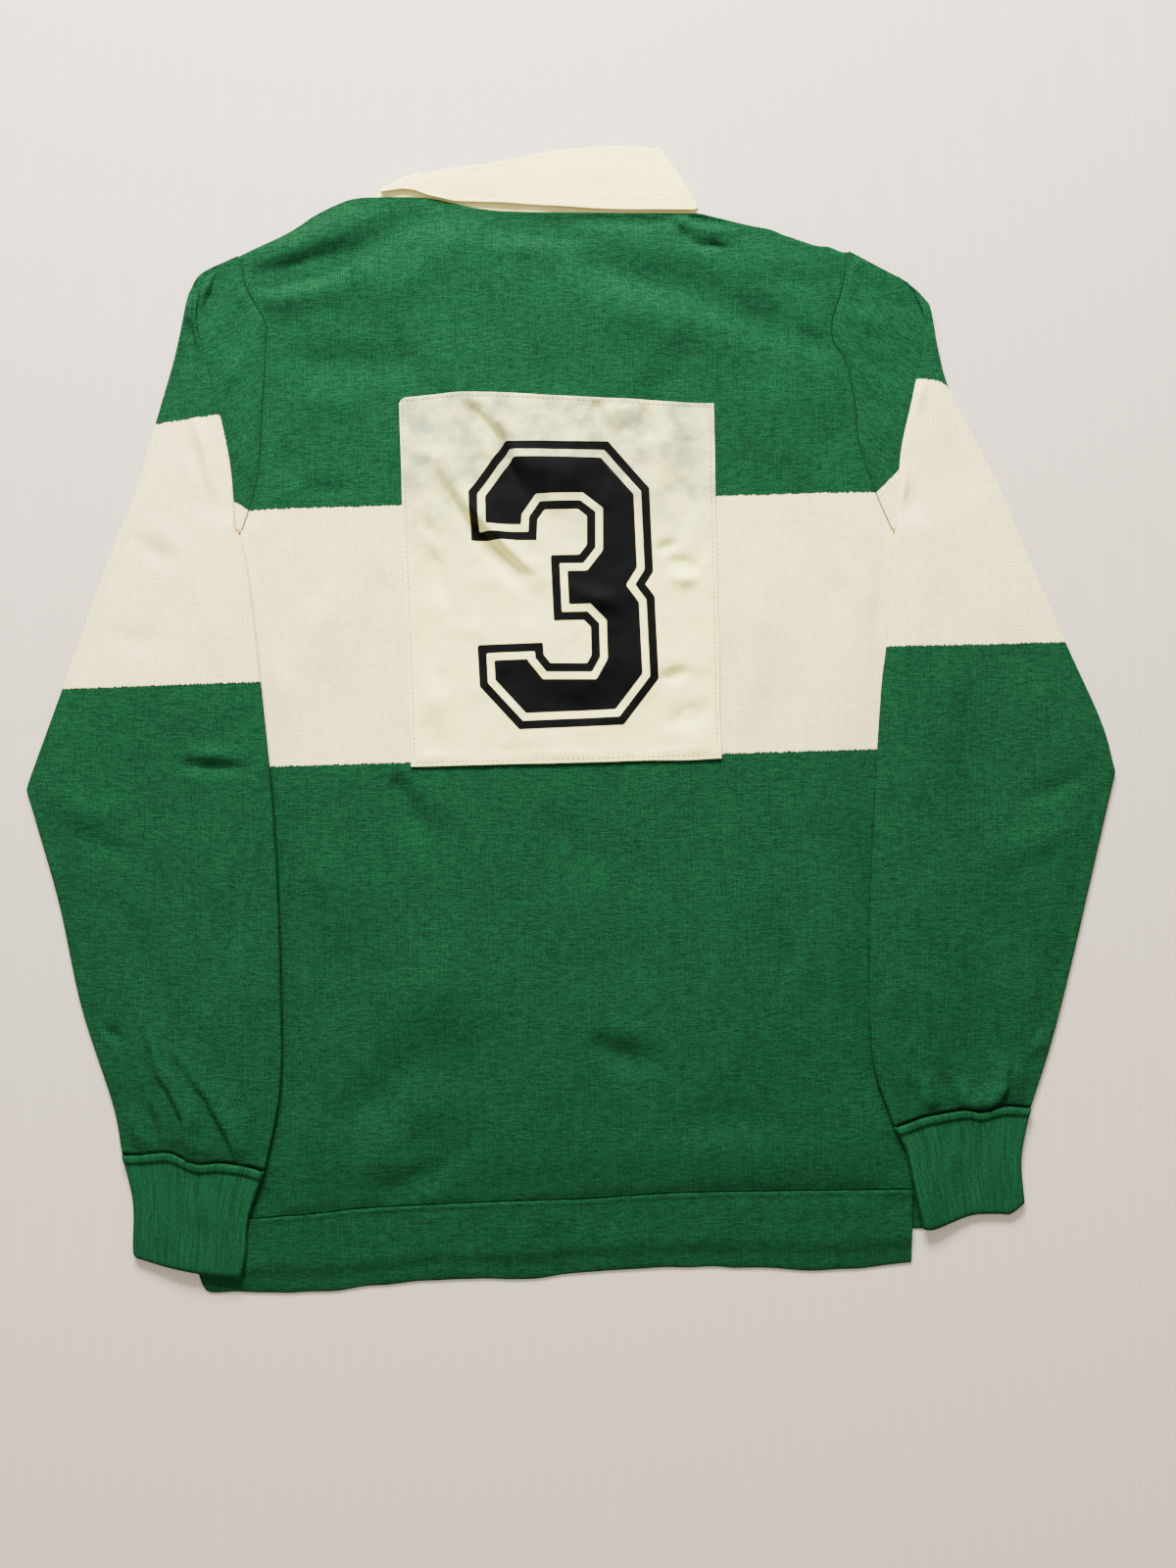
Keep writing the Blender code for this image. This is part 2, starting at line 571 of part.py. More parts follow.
def cuff_surface(cuff):
    """Outer face of a flat cuff, in rings from the seam to the foot, with a raised welt."""
    depths = (CUFF_GAP, 1.7, WELT_DEPTH - 1, WELT_DEPTH + 0.5, 24, 44, 60, CUFF_DEPTH)
    raised = (0.4, 1, 1, 0, 0, 0, 0, 0)
    surface = []
    for depth, welt in zip(depths, raised):
        share = depth / CUFF_DEPTH
        a, b = along(cuff.inner, share), along(cuff.outer, share)
        plan, roll = closed_row(a, b)
        roll[0] = 0
        from_edge = np.hypot(*(plan - a).T) / np.hypot(*(b - a))
        plan[:, 1] += (1 - share) * np.interp(from_edge, *np.array(cuff.seam_bow).T)
        plan[:, 1] += share * np.interp(from_edge, *np.array(cuff.foot_bow).T)
        gather = 0.5 * np.sin(from_edge * 5 * math.pi) ** 2 * (1 - share)
        above, below = tube_row(plan, roll, CUFF_TUBE, CUFF_TUBE + welt * WELT + gather)
        surface.append(np.vstack([above, below[-2:0:-1]]))
    return np.array(surface)


def ring_faces(rows, columns, flip):
    """Faces of rings of points, each joined to the next."""
    faces = []
    for i in range(rows - 1):
        for j in range(columns):
            a, b = i * columns + j, i * columns + (j + 1) % columns
            face = (a, b, b + columns, a + columns)
            faces.append(face[::-1] if flip else face)
    return faces


def collar_section(neck, fold, edge):
    """Middle of the folded band: distance from the level of the neck, and height.

    It goes up the stand, round the fold and down the fall.
    """
    bend = (FALL_RADIUS - STAND_RADIUS) / 2
    centre = fold - WOVEN / 2 - bend
    turn = np.radians((45, 90, 135))
    radius = [STAND_RADIUS] * 4 + list(STAND_RADIUS + bend - bend * np.cos(turn))
    height = list(np.linspace(neck, centre, 4)) + list(centre + bend * np.sin(turn))
    return (np.array(radius + [FALL_RADIUS] * 4),
            np.array(height + list(np.linspace(centre, edge, 4))))


def collar_row(share, turn, neck, table, near_end, far_end, out):
    """One section of the collar, at a share of the way between two of its ends."""
    fold, edge = [np.interp(share, *np.array(table).T[[0, k]]) for k in (1, 2)]
    radius, height = collar_section(neck, fold, edge)
    near = np.interp(height, *sorted_by_height(near_end))
    far = np.interp(height, *sorted_by_height(far_end))
    reach = radius * math.sin(turn)
    return np.stack([near + (far - near) * share + out[0] * reach, height + out[1] * reach,
                     NECK_LEVEL + radius * math.cos(turn)], axis=-1)


def sorted_by_height(points):
    """Heights and places of a table of x, y, ready to be interpolated."""
    points = np.array(sorted(points, key=lambda point: point[1]))
    return points[:, 1], points[:, 0]


def neck_shares(panel, near, far):
    """Shares between two ends of the neck at which the panel's top row has its points."""
    x = panel[-1, :, 0]
    low, high = min(near, far), max(near, far)
    inside = x[(x > low + 3) & (x < high - 3)]
    return np.sort((inside - near) / (far - near))


def collar_surface(back, front):
    """The collar from one front edge round the back to the other front edge."""
    left, right = COLLAR_END_LEFT[0], COLLAR_END_RIGHT[0]
    rows = []
    for share in neck_shares(front, left[0], LEAF_EDGE_LEFT[1][0])[::-1]:
        x = left[0] + (LEAF_EDGE_LEFT[1][0] - left[0]) * share
        rows.append(collar_row(share, math.pi, y_at(NECK_FRONT, x) + SEAM, COLLAR_FRONT_LEFT,
                               COLLAR_END_LEFT, LEAF_EDGE_LEFT, OUT_LEFT))
    front_edge = collar_row(1, math.pi, y_at(NECK_FRONT, PLACKET_LEFT) + SEAM,
                            COLLAR_FRONT_LEFT, COLLAR_END_LEFT, LEAF_EDGE_LEFT, OUT_LEFT)
    rows.insert(0, front_edge)
    for quarter in (4, 3, 2, 1, 0):
        rows.append(collar_row(0, quarter * math.pi / 4, left[1], COLLAR_BACK,
                               COLLAR_END_LEFT, COLLAR_END_RIGHT, OUT_LEFT))
    for share in neck_shares(back, left[0], right[0]):
        x = left[0] + (right[0] - left[0]) * share
        rows.append(collar_row(share, 0, top_line(NECK_BACK, x) + SEAM, COLLAR_BACK,
                               COLLAR_END_LEFT, COLLAR_END_RIGHT, OUT_LEFT))
    for quarter in range(5):
        rows.append(collar_row(1, quarter * math.pi / 4, right[1], COLLAR_BACK,
                               COLLAR_END_LEFT, COLLAR_END_RIGHT, OUT_RIGHT))
    for share in neck_shares(front, right[0], LEAF_EDGE_RIGHT[1][0]):
        x = right[0] + (LEAF_EDGE_RIGHT[1][0] - right[0]) * share
        rows.append(collar_row(share, math.pi, y_at(NECK_FRONT, x) + SEAM, COLLAR_FRONT_RIGHT,
                               COLLAR_END_RIGHT, LEAF_EDGE_RIGHT, OUT_RIGHT))
    rows.append(collar_row(1, math.pi, y_at(NECK_FRONT, PLACKET_LEFT) + SEAM,
                           COLLAR_FRONT_RIGHT, COLLAR_END_RIGHT, LEAF_EDGE_RIGHT, OUT_RIGHT))
    return np.array(rows)


for old in list(bpy.data.objects):
    bpy.data.objects.remove(old, do_unlink=True)
pieces = bpy.data.collections.new("sports_jersey")
bpy.context.scene.collection.children.link(pieces)

green = material("green knit", GREEN, 0.9)
white = material("warm white knit", WARM_WHITE, 0.9)
ivory = material("ivory twill", IVORY, 0.8)
cream = material("cream twill", CREAM, 0.8)

back = back_panel()
front = front_panel()
slit_column = FRONT_COLUMNS[0]
slit_rows = range(SLIT_ROW, sum(FRONT_ROWS))
cloth_piece("back_panel", back, grid_faces(*back.shape[:2]), KNIT, green)
cloth_piece("front_panel", front,
            grid_faces(*front.shape[:2], skip=[(i, slit_column) for i in slit_rows]),
            KNIT, green)

strip = placket(front)
cloth_piece("placket", strip, grid_faces(*strip.shape[:2]), KNIT, ivory)
number_patch = patch(back)
cloth_piece("number_patch", number_patch, grid_faces(*number_patch.shape[:2]), PATCH_CLOTH,
            cream)

band = hem_band((-235, -238), (218, 218), 0, BAND, True)
cloth_piece("hem_band_back", band, grid_faces(*band.shape[:2]), BAND, green)
band = hem_band((-235, -237), (218, 218), FRONT_SHORTER, KNIT, False)
cloth_piece("hem_band_front", band, grid_faces(*band.shape[:2]), KNIT, green)

for side, sleeve, cuff, column, flip in (("left", SLEEVE_LEFT, CUFF_LEFT, 0, False),
                                         ("right", SLEEVE_RIGHT, CUFF_RIGHT, -1, True)):
    surface = sleeve_surface(sleeve, back[:UNDERARM_ROW - 1:-1, column, :2])
    cloth_piece("sleeve_" + side, surface, sleeve_faces(surface, flip), KNIT, white,
                even=False)
    rings = cuff_surface(cuff)
    cloth_piece("cuff_" + side, rings, ring_faces(*rings.shape[:2], flip), CUFF_CLOTH, green)

collar = collar_surface(back, front)
cloth_piece("collar", collar, grid_faces(*collar.shape[:2]), WOVEN, ivory, middle=True)
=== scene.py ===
"""A sports jersey laid flat with its back up, seen from straight above on a pale sheet.

Every size in the tables is in millimetres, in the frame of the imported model: +Y towards the
collar, +X to the right of a viewer who looks down at the back, +Z up from the sheet.
"""
from collections import namedtuple
from functools import partial
import math

import bpy
import numpy as np
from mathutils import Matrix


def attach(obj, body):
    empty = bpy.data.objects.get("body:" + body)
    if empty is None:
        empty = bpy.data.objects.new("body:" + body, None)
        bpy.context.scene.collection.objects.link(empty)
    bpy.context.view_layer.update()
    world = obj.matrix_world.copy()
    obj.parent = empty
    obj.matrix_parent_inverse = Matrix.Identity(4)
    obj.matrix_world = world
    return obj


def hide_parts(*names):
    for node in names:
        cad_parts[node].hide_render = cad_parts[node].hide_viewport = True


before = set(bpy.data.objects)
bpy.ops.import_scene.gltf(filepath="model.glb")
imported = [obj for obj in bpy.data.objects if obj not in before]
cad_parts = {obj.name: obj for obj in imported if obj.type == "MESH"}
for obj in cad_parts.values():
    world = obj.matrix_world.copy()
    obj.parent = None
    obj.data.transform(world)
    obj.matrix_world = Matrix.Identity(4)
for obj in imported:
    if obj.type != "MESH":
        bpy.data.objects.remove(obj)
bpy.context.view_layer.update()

MM = 0.001

# Cloths, and the levels of the flat layers
KNIT, WOVEN, PATCH_CLOTH, BAND, CUFF_CLOTH, SLEEVE_CLOTH = 1.2, 1.1, 0.9, 1.6, 1.3, 0.9
SEAM = 0.3
BACK_UNDER = 1.5
BACK_TOP = 2.7
ON_BODY = 3.4
TUBE = 3.6
CUFF_TUBE = 4.4
WELT, WELT_DEPTH = 1.0, 6.0
NECK_LEVEL = 3.3
STAND_RADIUS, FALL_RADIUS = 1.0, 2.7
FRONT_NECK_RISE, BACK_NECK_RISE = 1.7, 2.2
FRONT_SHORTER = 22.0
PLACKET_LEFT, PLACKET_RIGHT = -31.0, -1.0
SLIT_FOOT = 101
CUFF_LENGTH = 69.0
TILT = math.radians(1.7)

# Stitches: width and height of one in the jersey knit, width of a rib in the cuffs
WALE, COURSE, RIB = 1.6, 1.2, 1.9

# Seams and edges of the body: x, y
ARMHOLE_LEFT = ((-212, 297), (-206, 276), (-196, 258), (-194, 245), (-196, 207),
                (-199, 160), (-205, 135), (-210, 120))
ARMHOLE_RIGHT = ((178, 300), (173, 276), (167, 256), (168, 242), (176, 229),
                 (182, 201), (184, 179), (195, 146), (206, 121))
UNDERARM_LEFT, UNDERARM_RIGHT = 120, 121
SIDE_LEFT = ((-210, 120), (-220, 91), (-228, 48), (-232, -60), (-235, -319))
SIDE_RIGHT = ((206, 121), (213, 91), (219, 48), (221, -60), (218, -298))
SHOULDER_LEFT = ((-212, 297), (-177, 313), (-160, 323), (-139, 332), (-117, 333.5))
NECK_BACK = ((-117, 333.5), (-93, 333), (-72, 329), (-57, 326), (-26, 324), (83, 323))
NECK_FRONT = ((-117, 333.5), (-100, 312), (-75, 284), (-50, 262), (-31, 253),
              (-1, 252), (18, 259), (42, 278), (66, 305), (83, 323))
NECK_LEFT_X, NECK_RIGHT_X = NECK_BACK[0][0], NECK_BACK[-1][0]
SHOULDER_RIGHT = ((83, 323), (104, 317.8), (115, 315.2), (128, 312.9), (136, 310),
                  (143, 308.2), (157, 303.8), (165, 303), (173, 300), (178, 300))
HEM_SEAM = ((-235, -319), (-167, -314), (-130, -310), (-52, -306), (11, -304),
            (76, -300), (218, -298))
HEM_EDGE = ((-238, -351), (-234, -361), (-223, -365), (-157, -364), (-117, -360),
            (-84, -356), (-27, -356), (11, -352), (115, -348), (159, -350), (218, -346))
PATCH_LEFT = ((-109, 206), (-101, -29))
PATCH_RIGHT = ((91, 203), (96, -24))
PATCH_TOP = ((-109, 205), (-59, 208.5), (33, 204.5), (91, 201.5))
PATCH_FOOT = ((-101, -29), (96, -24))

# The collar: its slanted ends, the way out of it there, its front edges, and its fold and
# lower edge by share of the way round
COLLAR_END_LEFT = ((-124, 334), (-117, 337.8), (-104, 344.5), (-93, 348))
COLLAR_END_RIGHT = ((79.5, 323.8), (73.2, 336.2), (67.2, 346.2), (54.2, 364.2))
OUT_LEFT, OUT_RIGHT = (-0.35, 0.7), (0.85, 0.53)
LEAF_EDGE_LEFT = ((-34, 206), (-19, 255), (-18, 290))
LEAF_EDGE_RIGHT = ((2, 206), (-13, 255), (-14, 290))
COLLAR_BACK = ((0, 348, 336.2), (0.05, 350, 338.3), (0.1, 352, 337.3), (0.25, 354.5, 330.5),
               (0.4, 358.5, 329.5), (0.55, 363, 327.5), (0.7, 365, 325.5), (0.85, 366, 325),
               (1, 364.5, 324.8))
COLLAR_FRONT_LEFT = ((0, 348, 336.2), (0.15, 343, 322), (0.4, 317, 278), (0.7, 290, 232),
                     (1, 276, 206))
COLLAR_FRONT_RIGHT = ((0, 364.5, 324.8), (0.15, 352, 312), (0.4, 324, 275), (0.7, 293, 232),
                      (1, 276, 206))
LEAF_REACH = ((-128, 326), (-34, 206), (2, 206), (83, 312))
LEAVES_LEFT_X, LEAVES_RIGHT_X = -120, 79.5

# The sleeves: the crease of the fold in the sleeve head, the outer edge beside it, then the
# inner and the outer edge down to the elbow and down to the cuff
Sleeve = namedtuple("Sleeve", "crease cap_outer upper_inner upper_outer lower_inner "
                    "lower_outer seam_bow")
Cuff = namedtuple("Cuff", "inner outer seam_bow foot_bow")
SEAM_BOW_LEFT = ((0, 0), (0.09, 2), (0.29, 3), (0.47, 0.5), (0.66, 5.4), (0.87, 1.5), (1, 0))
SEAM_BOW_RIGHT = ((0, 0), (0.12, 2.5), (0.23, 4.3), (0.51, 4.7), (0.64, 1.4), (0.81, 3.3),
                  (1, 0))
SLEEVE_LEFT = Sleeve(
    crease=((-225, 291), (-232, 280), (-237.5, 266), (-237, 249), (-229, 219),
            (-217, 167), (-213, 121)),
    cap_outer=((-231, 288.5), (-237.4, 283.5), (-241.6, 276.5), (-244.6, 268.6),
               (-252, 234), (-265, 189), (-277, 147)),
    upper_inner=((-210, 120), (-205, 96), (-201, 64), (-197, 28), (-191, -29)),
    upper_outer=((-277, 147), (-299, 91), (-324, 21), (-344, -34), (-347, -44)),
    lower_inner=((-191, -29), (-187, -81), (-184, -159), (-184, -231), (-194, -286)),
    lower_outer=((-347, -44), (-341, -64), (-326, -117), (-312, -182), (-292, -244),
                 (-286, -276)),
    seam_bow=SEAM_BOW_LEFT)
SLEEVE_RIGHT = Sleeve(
    crease=((209, 284), (218, 274.5), (223.5, 264), (225.5, 255), (224.5, 236),
            (220.5, 218), (216.5, 199), (212, 179.5), (209.5, 160), (207, 122)),
    cap_outer=((214.5, 280.5), (221, 275.2), (227, 268.8), (230.2, 262.5), (235, 236),
               (242, 212), (260, 177), (274, 150)),
    upper_inner=((206, 121), (203, 86), (201, 48), (198, 23), (194, -37)),
    upper_outer=((274, 150), (296, 98), (316, 51), (339, 0), (348, -32)),
    lower_inner=((194, -37), (191, -99), (190, -164), (193, -218), (206, -258)),
    lower_outer=((348, -32), (341, -62), (320, -154), (307, -205), (294, -246)),
    seam_bow=SEAM_BOW_RIGHT)
CUFF_LEFT = Cuff(
    inner=((-194, -286), (-204, -315), (-206, -340), (-209, -354)),
    outer=((-286, -276), (-279, -306), (-279, -336), (-277, -342)),
    seam_bow=SEAM_BOW_LEFT,
    foot_bow=((0, 0), (0.16, -1), (0.41, -2), (0.72, -1.6), (1, 0)))
CUFF_RIGHT = Cuff(
    inner=((205.5, -258), (213.5, -273), (218, -292), (224.5, -323)),
    outer=((294, -246), (289, -270), (288, -285), (290, -307)),
    seam_bow=SEAM_BOW_RIGHT,
    foot_bow=((0, 0), (0.12, -2), (0.47, 0.5), (0.75, -3), (0.86, -4.7), (1, 0)))
SLOPE_START, SLOPE_END = 4.0, 44.0

# How a sleeve is rolled: its radius at the lip and at the outer edge, how far in under the lip
# its cloth starts, what the lip lies on beside the head, how far the head's strip goes under
# the lip, and the levels to which the tube and the strip close at their upper end
LIP_RADIUS, OUTER_RADIUS = 1.2, 1.8
TUCK = np.array([7.0, 4.5, 3.0])
UNDER_HEAD, LIP_COVER = 3.3, 8.5
CLOSED_AT, STRIP_CLOSED_AT = 2.2, 2.0

# The white bands: their upper and lower edge across the body and each sleeve, x, y
BODY_BAND = ((-240, 133), (194, 146)), ((-240, -30), (215, -17))
BAND_LEFT = ((-290, 185), (-265, 189), (-223, 195), (-200, 198)), ((-350, 20), (-198, 25))
BAND_RIGHT = ((200, 218.5), (221, 218), (236, 216), (242, 212), (262, 197)), \
    ((195, 47.5), (261, 49), (320, 51))
CAP_BAND_LEFT = (-230, 149), (-213, 139), (-200, 132)
CAP_BAND_RIGHT = (190, 141), (195, 146), (202, 152), (210, 161), (220, 172)

# How many times the heights of the tables below the creases and folds stand
BODY_CREASE_GAIN, PATCH_CREASE_GAIN, SLEEVE_CREASE_GAIN = 2.2, 4.8, 1.8
BODY_FOLD_GAIN, SLEEVE_FOLD_GAIN = 1.5, 1.4

# Creases: lines of x, y, height and half width. A height under 0 is a trough
BODY_CREASES = (
    ((70, 319, 0, 3), (75, 311, -2.4, 4), (79, 307, -2.6, 4.5), (88, 305, -1.7, 5),
     (103, 302, 0, 5)),
    ((76, 324, 0, 2.5), (79, 320, -1.6, 2.6), (88, 318, -1.3, 3), (102, 317, 0, 3)),
    ((82, 312, 0, 4), (92, 311, 1.2, 4), (110, 309, 0, 4)),
    ((-2, 320, 0, 3), (18, 318.5, -1.2, 3.5), (46, 318, -1.5, 3.5), (68, 317, 0, 3)),
    ((-93, 327, 0, 8), (-98, 318, -1.3, 9), (-139, 299, -2.0, 12), (-165, 287, -3.2, 11),
     (-190, 281, -2.8, 9), (-207, 279, -0.4, 8)),
    ((-105, 326, 0, 9), (-140, 312, 1.2, 9), (-178, 299, 1.5, 8), (-203, 291, 0, 7)),
    ((-203, 268, 0, 6), (-182, 270, 1.4, 8), (-150, 277, 0.9, 9), (-125, 284, 0, 9)),
    ((-60, 318, 0, 8), (-76, 300, 1.2, 11), (-100, 280, 1.1, 12), (-128, 262, 0, 12)),
    ((-14, 304, 0, 12), (24, 288, -1.8, 13), (74, 273, -2.1, 13), (118, 257, -1.7, 12),
     (161, 235, 0, 9)),
    ((0, 280, 0, 12), (45, 262, 1.2, 14), (96, 246, 1.3, 13), (140, 228, 0, 10)),
    ((-53, 314, 0, 6), (-34, 312, -1.4, 7), (-12, 311, -1.5, 7), (12, 307, 0, 7)),
    ((-62, 303, 0, 6), (-30, 300, 1.1, 8), (0, 296, 0, 8)),
    ((148, 251, 0, 3), (154, 241, -1.8, 3.6), (160, 229, 0, 3)),
    ((152, 262, 0, 5), (161, 249, 1.1, 5), (168, 236, 0, 5)),
    ((120, 285, 0, 7), (146, 279, -1.2, 8), (168, 277, 0, 7)),
    ((-183, 235, 0, 8), (-160, 228, -1.2, 10), (-120, 226, -1.3, 11), (-86, 231, 0, 10)),
    ((-178, 206, 0, 7), (-150, 202, 0.9, 9), (-126, 205, 0, 9)),
    ((-188, 190, 0, 5), (-181, 165, -1.0, 7), (-176, 146, 0, 6)),
    ((-172, 150, 0, 4), (-156, 146, -0.9, 5), (-130, 150, 0, 5)),
    ((112, 222, 0, 8), (130, 200, 1.1, 10), (142, 170, 1.0, 10), (148, 146, 0, 9)),
    ((150, 205, 0, 8), (160, 178, -1.1, 9), (164, 150, 0, 8)),
    ((-152, 96, 0, 6), (-157, 66, 1.3, 9), (-163, 30, 0, 8)),
    ((-176, 110, 0, 5), (-166, 84, -0.9, 6), (-160, 60, 0, 5)),
    ((-128, 110, 0, 5), (-121, 84, -1.2, 7), (-125, 50, -0.9, 8), (-134, 22, 0, 8)),
    ((-196, 60, 0, 6), (-182, 20, 1.0, 8), (-176, -18, 0, 8)),
    ((111, 96, 0, 5), (119, 62, 1.2, 8), (117, 22, 1.0, 8), (110, -12, 0, 7)),
    ((152, 116, 0, 6), (168, 84, -1.2, 8), (173, 44, 0, 8)),
    ((178, 104, 0, 5), (188, 78, 0.9, 6), (192, 50, 0, 6)),
    ((134, 40, 0, 6), (142, 14, -0.8, 7), (140, -16, 0, 7)),
    ((-114, -33, 0, 3), (-110, -40, -1.9, 4), (-98, -62, -1.5, 6), (-88, -84, 0, 7)),
    ((-94, -36, 0, 4), (-84, -52, 1.0, 6), (-72, -70, 0, 6)),
    ((-152, -48, 0, 10), (-158, -96, 1.2, 14), (-150, -150, 0, 14)),
    ((-60, -110, 0, 14), (-84, -170, 1.4, 18), (-96, -240, 0, 18)),
    ((-152, -264, 0, 9), (-128, -243, -1.2, 11), (-103, -219, -1.3, 12), (-78, -194, 0, 12)),
    ((-142, -293, 0, 8), (-118, -276, 1.1, 11), (-95, -250, 1.1, 12), (-72, -226, 0, 12)),
    ((-124, -305, 0, 5), (-104, -297, -1.2, 7), (-84, -285, -1.2, 8), (-60, -266, 0, 8)),
    ((8, -203, 0, 6), (36, -214, -1.7, 8), (60, -222, 0, 7)),
    ((4, -190, 0, 8), (38, -199, 1.0, 10), (66, -206, 0, 9)),
    ((137, -128, 0, 4), (139, -150, -1.3, 5), (140, -180, 0, 4)),
    ((146, -130, 0, 5), (149, -154, 0.9, 6), (149, -182, 0, 5)),
    ((92, -60, 0, 12), (112, -110, 1.0, 16), (104, -170, 0, 16)),
    ((-30, -54, 0, 12), (8, -86, -0.9, 16), (52, -98, 0, 14)),
    ((-140, -230, 0, 12), (-100, -262, -1.0, 14), (-50, -274, 0, 12)),
    ((60, -262, 0, 10), (100, -254, -0.9, 12), (150, -262, 0, 10)),
)
PATCH_CREASES = (
    ((-66, 206, 0, 3), (-59, 192, -1.6, 3.4), (-46, 177, -1.4, 4), (-36, 158, -0.8, 4),
     (-28, 140, 0, 4)),
    ((-52, 203, 0, 3), (-45, 190, 1.2, 4), (-36, 178, 0, 4)),
    ((-84, 158, 0, 3), (-71, 132, -1.4, 3.6), (-47, 106, -1.7, 4), (-23, 77, 0, 4)),
    ((-76, 160, 0, 4), (-60, 132, 1.4, 5), (-36, 106, 1.3, 5), (-14, 84, 0, 5)),
    ((-53, 113, 0, 3), (-38, 100, -1.3, 3), (-21, 89, 0, 3)),
    ((-97, 120, 0, 3), (-85, 98, -1.0, 4), (-78, 70, 0, 4)),
    ((-96, 176, 0, 5), (-84, 166, 0.9, 6), (-74, 150, 0, 5)),
    ((46, 202, 0, 3), (48, 190, -1.2, 3), (51, 178, 0, 3)),
    ((15, 207, 0, 3), (17, 198, -1.0, 3), (19, 188, 0, 3)),
    ((24, 206, 0, 4), (30, 196, 0.8, 5), (34, 184, 0, 4)),
    ((53, 107, 0, 2.6), (61, 111, -0.9, 3), (70, 114, 0, 3)),
    ((60, 103, 0, 3), (72, 100, -1.2, 3.4), (84, 97, 0, 3)),
    ((60, 92, 0, 3), (72, 90, 0.8, 4), (84, 90, 0, 3)),
    ((56, 26, 0, 3), (66, 29, -1.0, 3.4), (78, 33, 0, 3)),
    ((-96, 40, 0, 5), (-86, 14, 0.9, 7), (-80, -12, 0, 6)),
    ((-60, 176, 0, 7), (-20, 160, 0.8, 9), (20, 148, 0, 8)),
    ((60, 170, 0, 5), (72, 140, -0.9, 6), (76, 112, 0, 5)),
    ((-30, 20, 0, 7), (10, 8, -0.6, 8), (44, 14, 0, 7)),
    ((60, -4, 0, 4), (76, 4, -0.9, 6), (94, 10, 0, 5)),
    ((-98, 134, 0, 3), (-90, 122, -0.8, 4), (-80, 112, 0, 4)),
    ((66, 196, 0, 3), (72, 178, -0.6, 4), (74, 160, 0, 4)),
    ((-8, 88, 0, 4), (18, 78, 0.9, 5), (40, 72, 0, 5)),
)
CAP_CREASES = (
    ((-219, 291, 0, 3), (-224, 280, -3.2, 3), (-230, 266, -3.6, 3.2), (-235, 252, 0, 3)),
    ((-228, 288, 0, 4), (-231, 276, 1.8, 4), (-237, 262, 0, 4)),
    ((-206, 272, 0, 4), (-211, 252, -1.3, 5), (-214, 226, 0, 5)),
    ((-204, 235, 0, 4), (-216, 222, 0.9, 5), (-224, 205, 0, 4)),
    ((182, 287, 0, 5), (202, 279, -2.2, 7), (219, 266, -1.6, 6), (224, 258, 0, 4)),
    ((176, 262, 0, 4), (190, 256, 1.2, 6), (208, 246, 0, 5)),
    ((181, 236, 0, 5), (198, 226, -1.0, 6), (213, 212, 0, 5)),
    ((190, 200, 0, 4), (199, 186, 0.8, 5), (206, 170, 0, 4)),
)
SLEEVE_CREASES = (
    ((-242, 258, 0, 4), (-243, 240, -1.0, 4), (-245, 222, 0, 4)),
    ((-240, 196, 0, 3), (-233, 178, 1.9, 4), (-229, 160, 1.7, 4.4), (-222, 128, 0, 4)),
    ((-246, 190, 0, 4), (-240, 168, -1.1, 4), (-234, 146, 0, 4)),
    ((-282, 120, 0, 4), (-264, 107, -1.5, 5), (-248, 96, 0, 5)),
    ((-270, 128, 0, 5), (-254, 116, 1.1, 6), (-240, 104, 0, 5)),
    ((-232, 90, 0, 5), (-226, 60, 1.0, 7), (-222, 26, 0, 6)),
    ((-300, 60, 0, 6), (-276, 50, -0.9, 8), (-250, 52, 0, 7)),
    ((-250, -27, 0, 3), (-240, -28.5, -1.6, 3.4), (-222, -29.5, -1.9, 3.4),
     (-200, -31, 0, 3)),
    ((-252, -21, 0, 4), (-226, -22, 1.2, 4.4), (-200, -24, 0, 4)),
    ((-340, -44, 0, 6), (-312, -56, 1.1, 9), (-280, -62, 0, 9)),
    ((-322, -66, 0, 5), (-296, -80, -1.1, 7), (-262, -90, 0, 7)),
    ((-238, -66, 0, 8), (-226, -100, 1.1, 10), (-222, -150, 0, 10)),
    ((-284, -104, 0, 8), (-276, -146, -1.0, 10), (-266, -182, 0, 9)),
    ((-297, -193, 0, 3), (-290, -200, -1.3, 3.4), (-282, -206, 0, 3)),
    ((-272, -240, 0, 3), (-266, -254, -1.4, 3.4), (-262, -272, -1.0, 3)),
    ((-282, -246, 0, 4), (-276, -260, 1.2, 4), (-272, -274, 0.6, 3)),
    ((224, 262, 0, 2.6), (225, 254, -1.8, 3), (226, 244, 0, 3)),
    ((224, 220, 0, 3), (222, 208, 1.4, 3.6), (219, 192, 0, 3)),
    ((214, 166, 0, 3), (211, 150, 1.7, 3.8), (208, 130, 0, 3)),
    ((222, 158, 0, 3.6), (219, 142, -1.0, 4), (217, 124, 0, 4)),
    ((240, 190, 0, 5), (252, 160, -0.9, 7), (258, 130, 0, 6)),
    ((262, 70, 0, 6), (284, 44, -1.2, 8), (304, 18, 0, 7)),
    ((236, 60, 0, 7), (244, 20, 1.0, 9), (240, -20, 0, 8)),
    ((336, -30, 0, 5), (306, -46, -1.1, 7), (280, -52, 0, 7)),
    ((330, -60, 0, 6), (300, -76, 1.0, 8), (268, -82, 0, 8)),
    ((250, -110, 0, 8), (256, -150, 1.0, 10), (252, -190, 0, 9)),
    ((230, -214, 0, 4), (237, -230, -1.5, 4.4), (244, -248, -1.0, 3.6)),
    ((222, -222, 0, 4), (228, -238, 1.2, 4.4), (234, -252, 0.6, 3.6)),
    ((286, -206, 0, 3.4), (286, -224, 1.3, 4), (287, -240, 0.6, 3.4)),
    ((213, -226, 0, 3.4), (217, -242, -1.2, 3.6), (221, -256, -0.8, 3)),
)

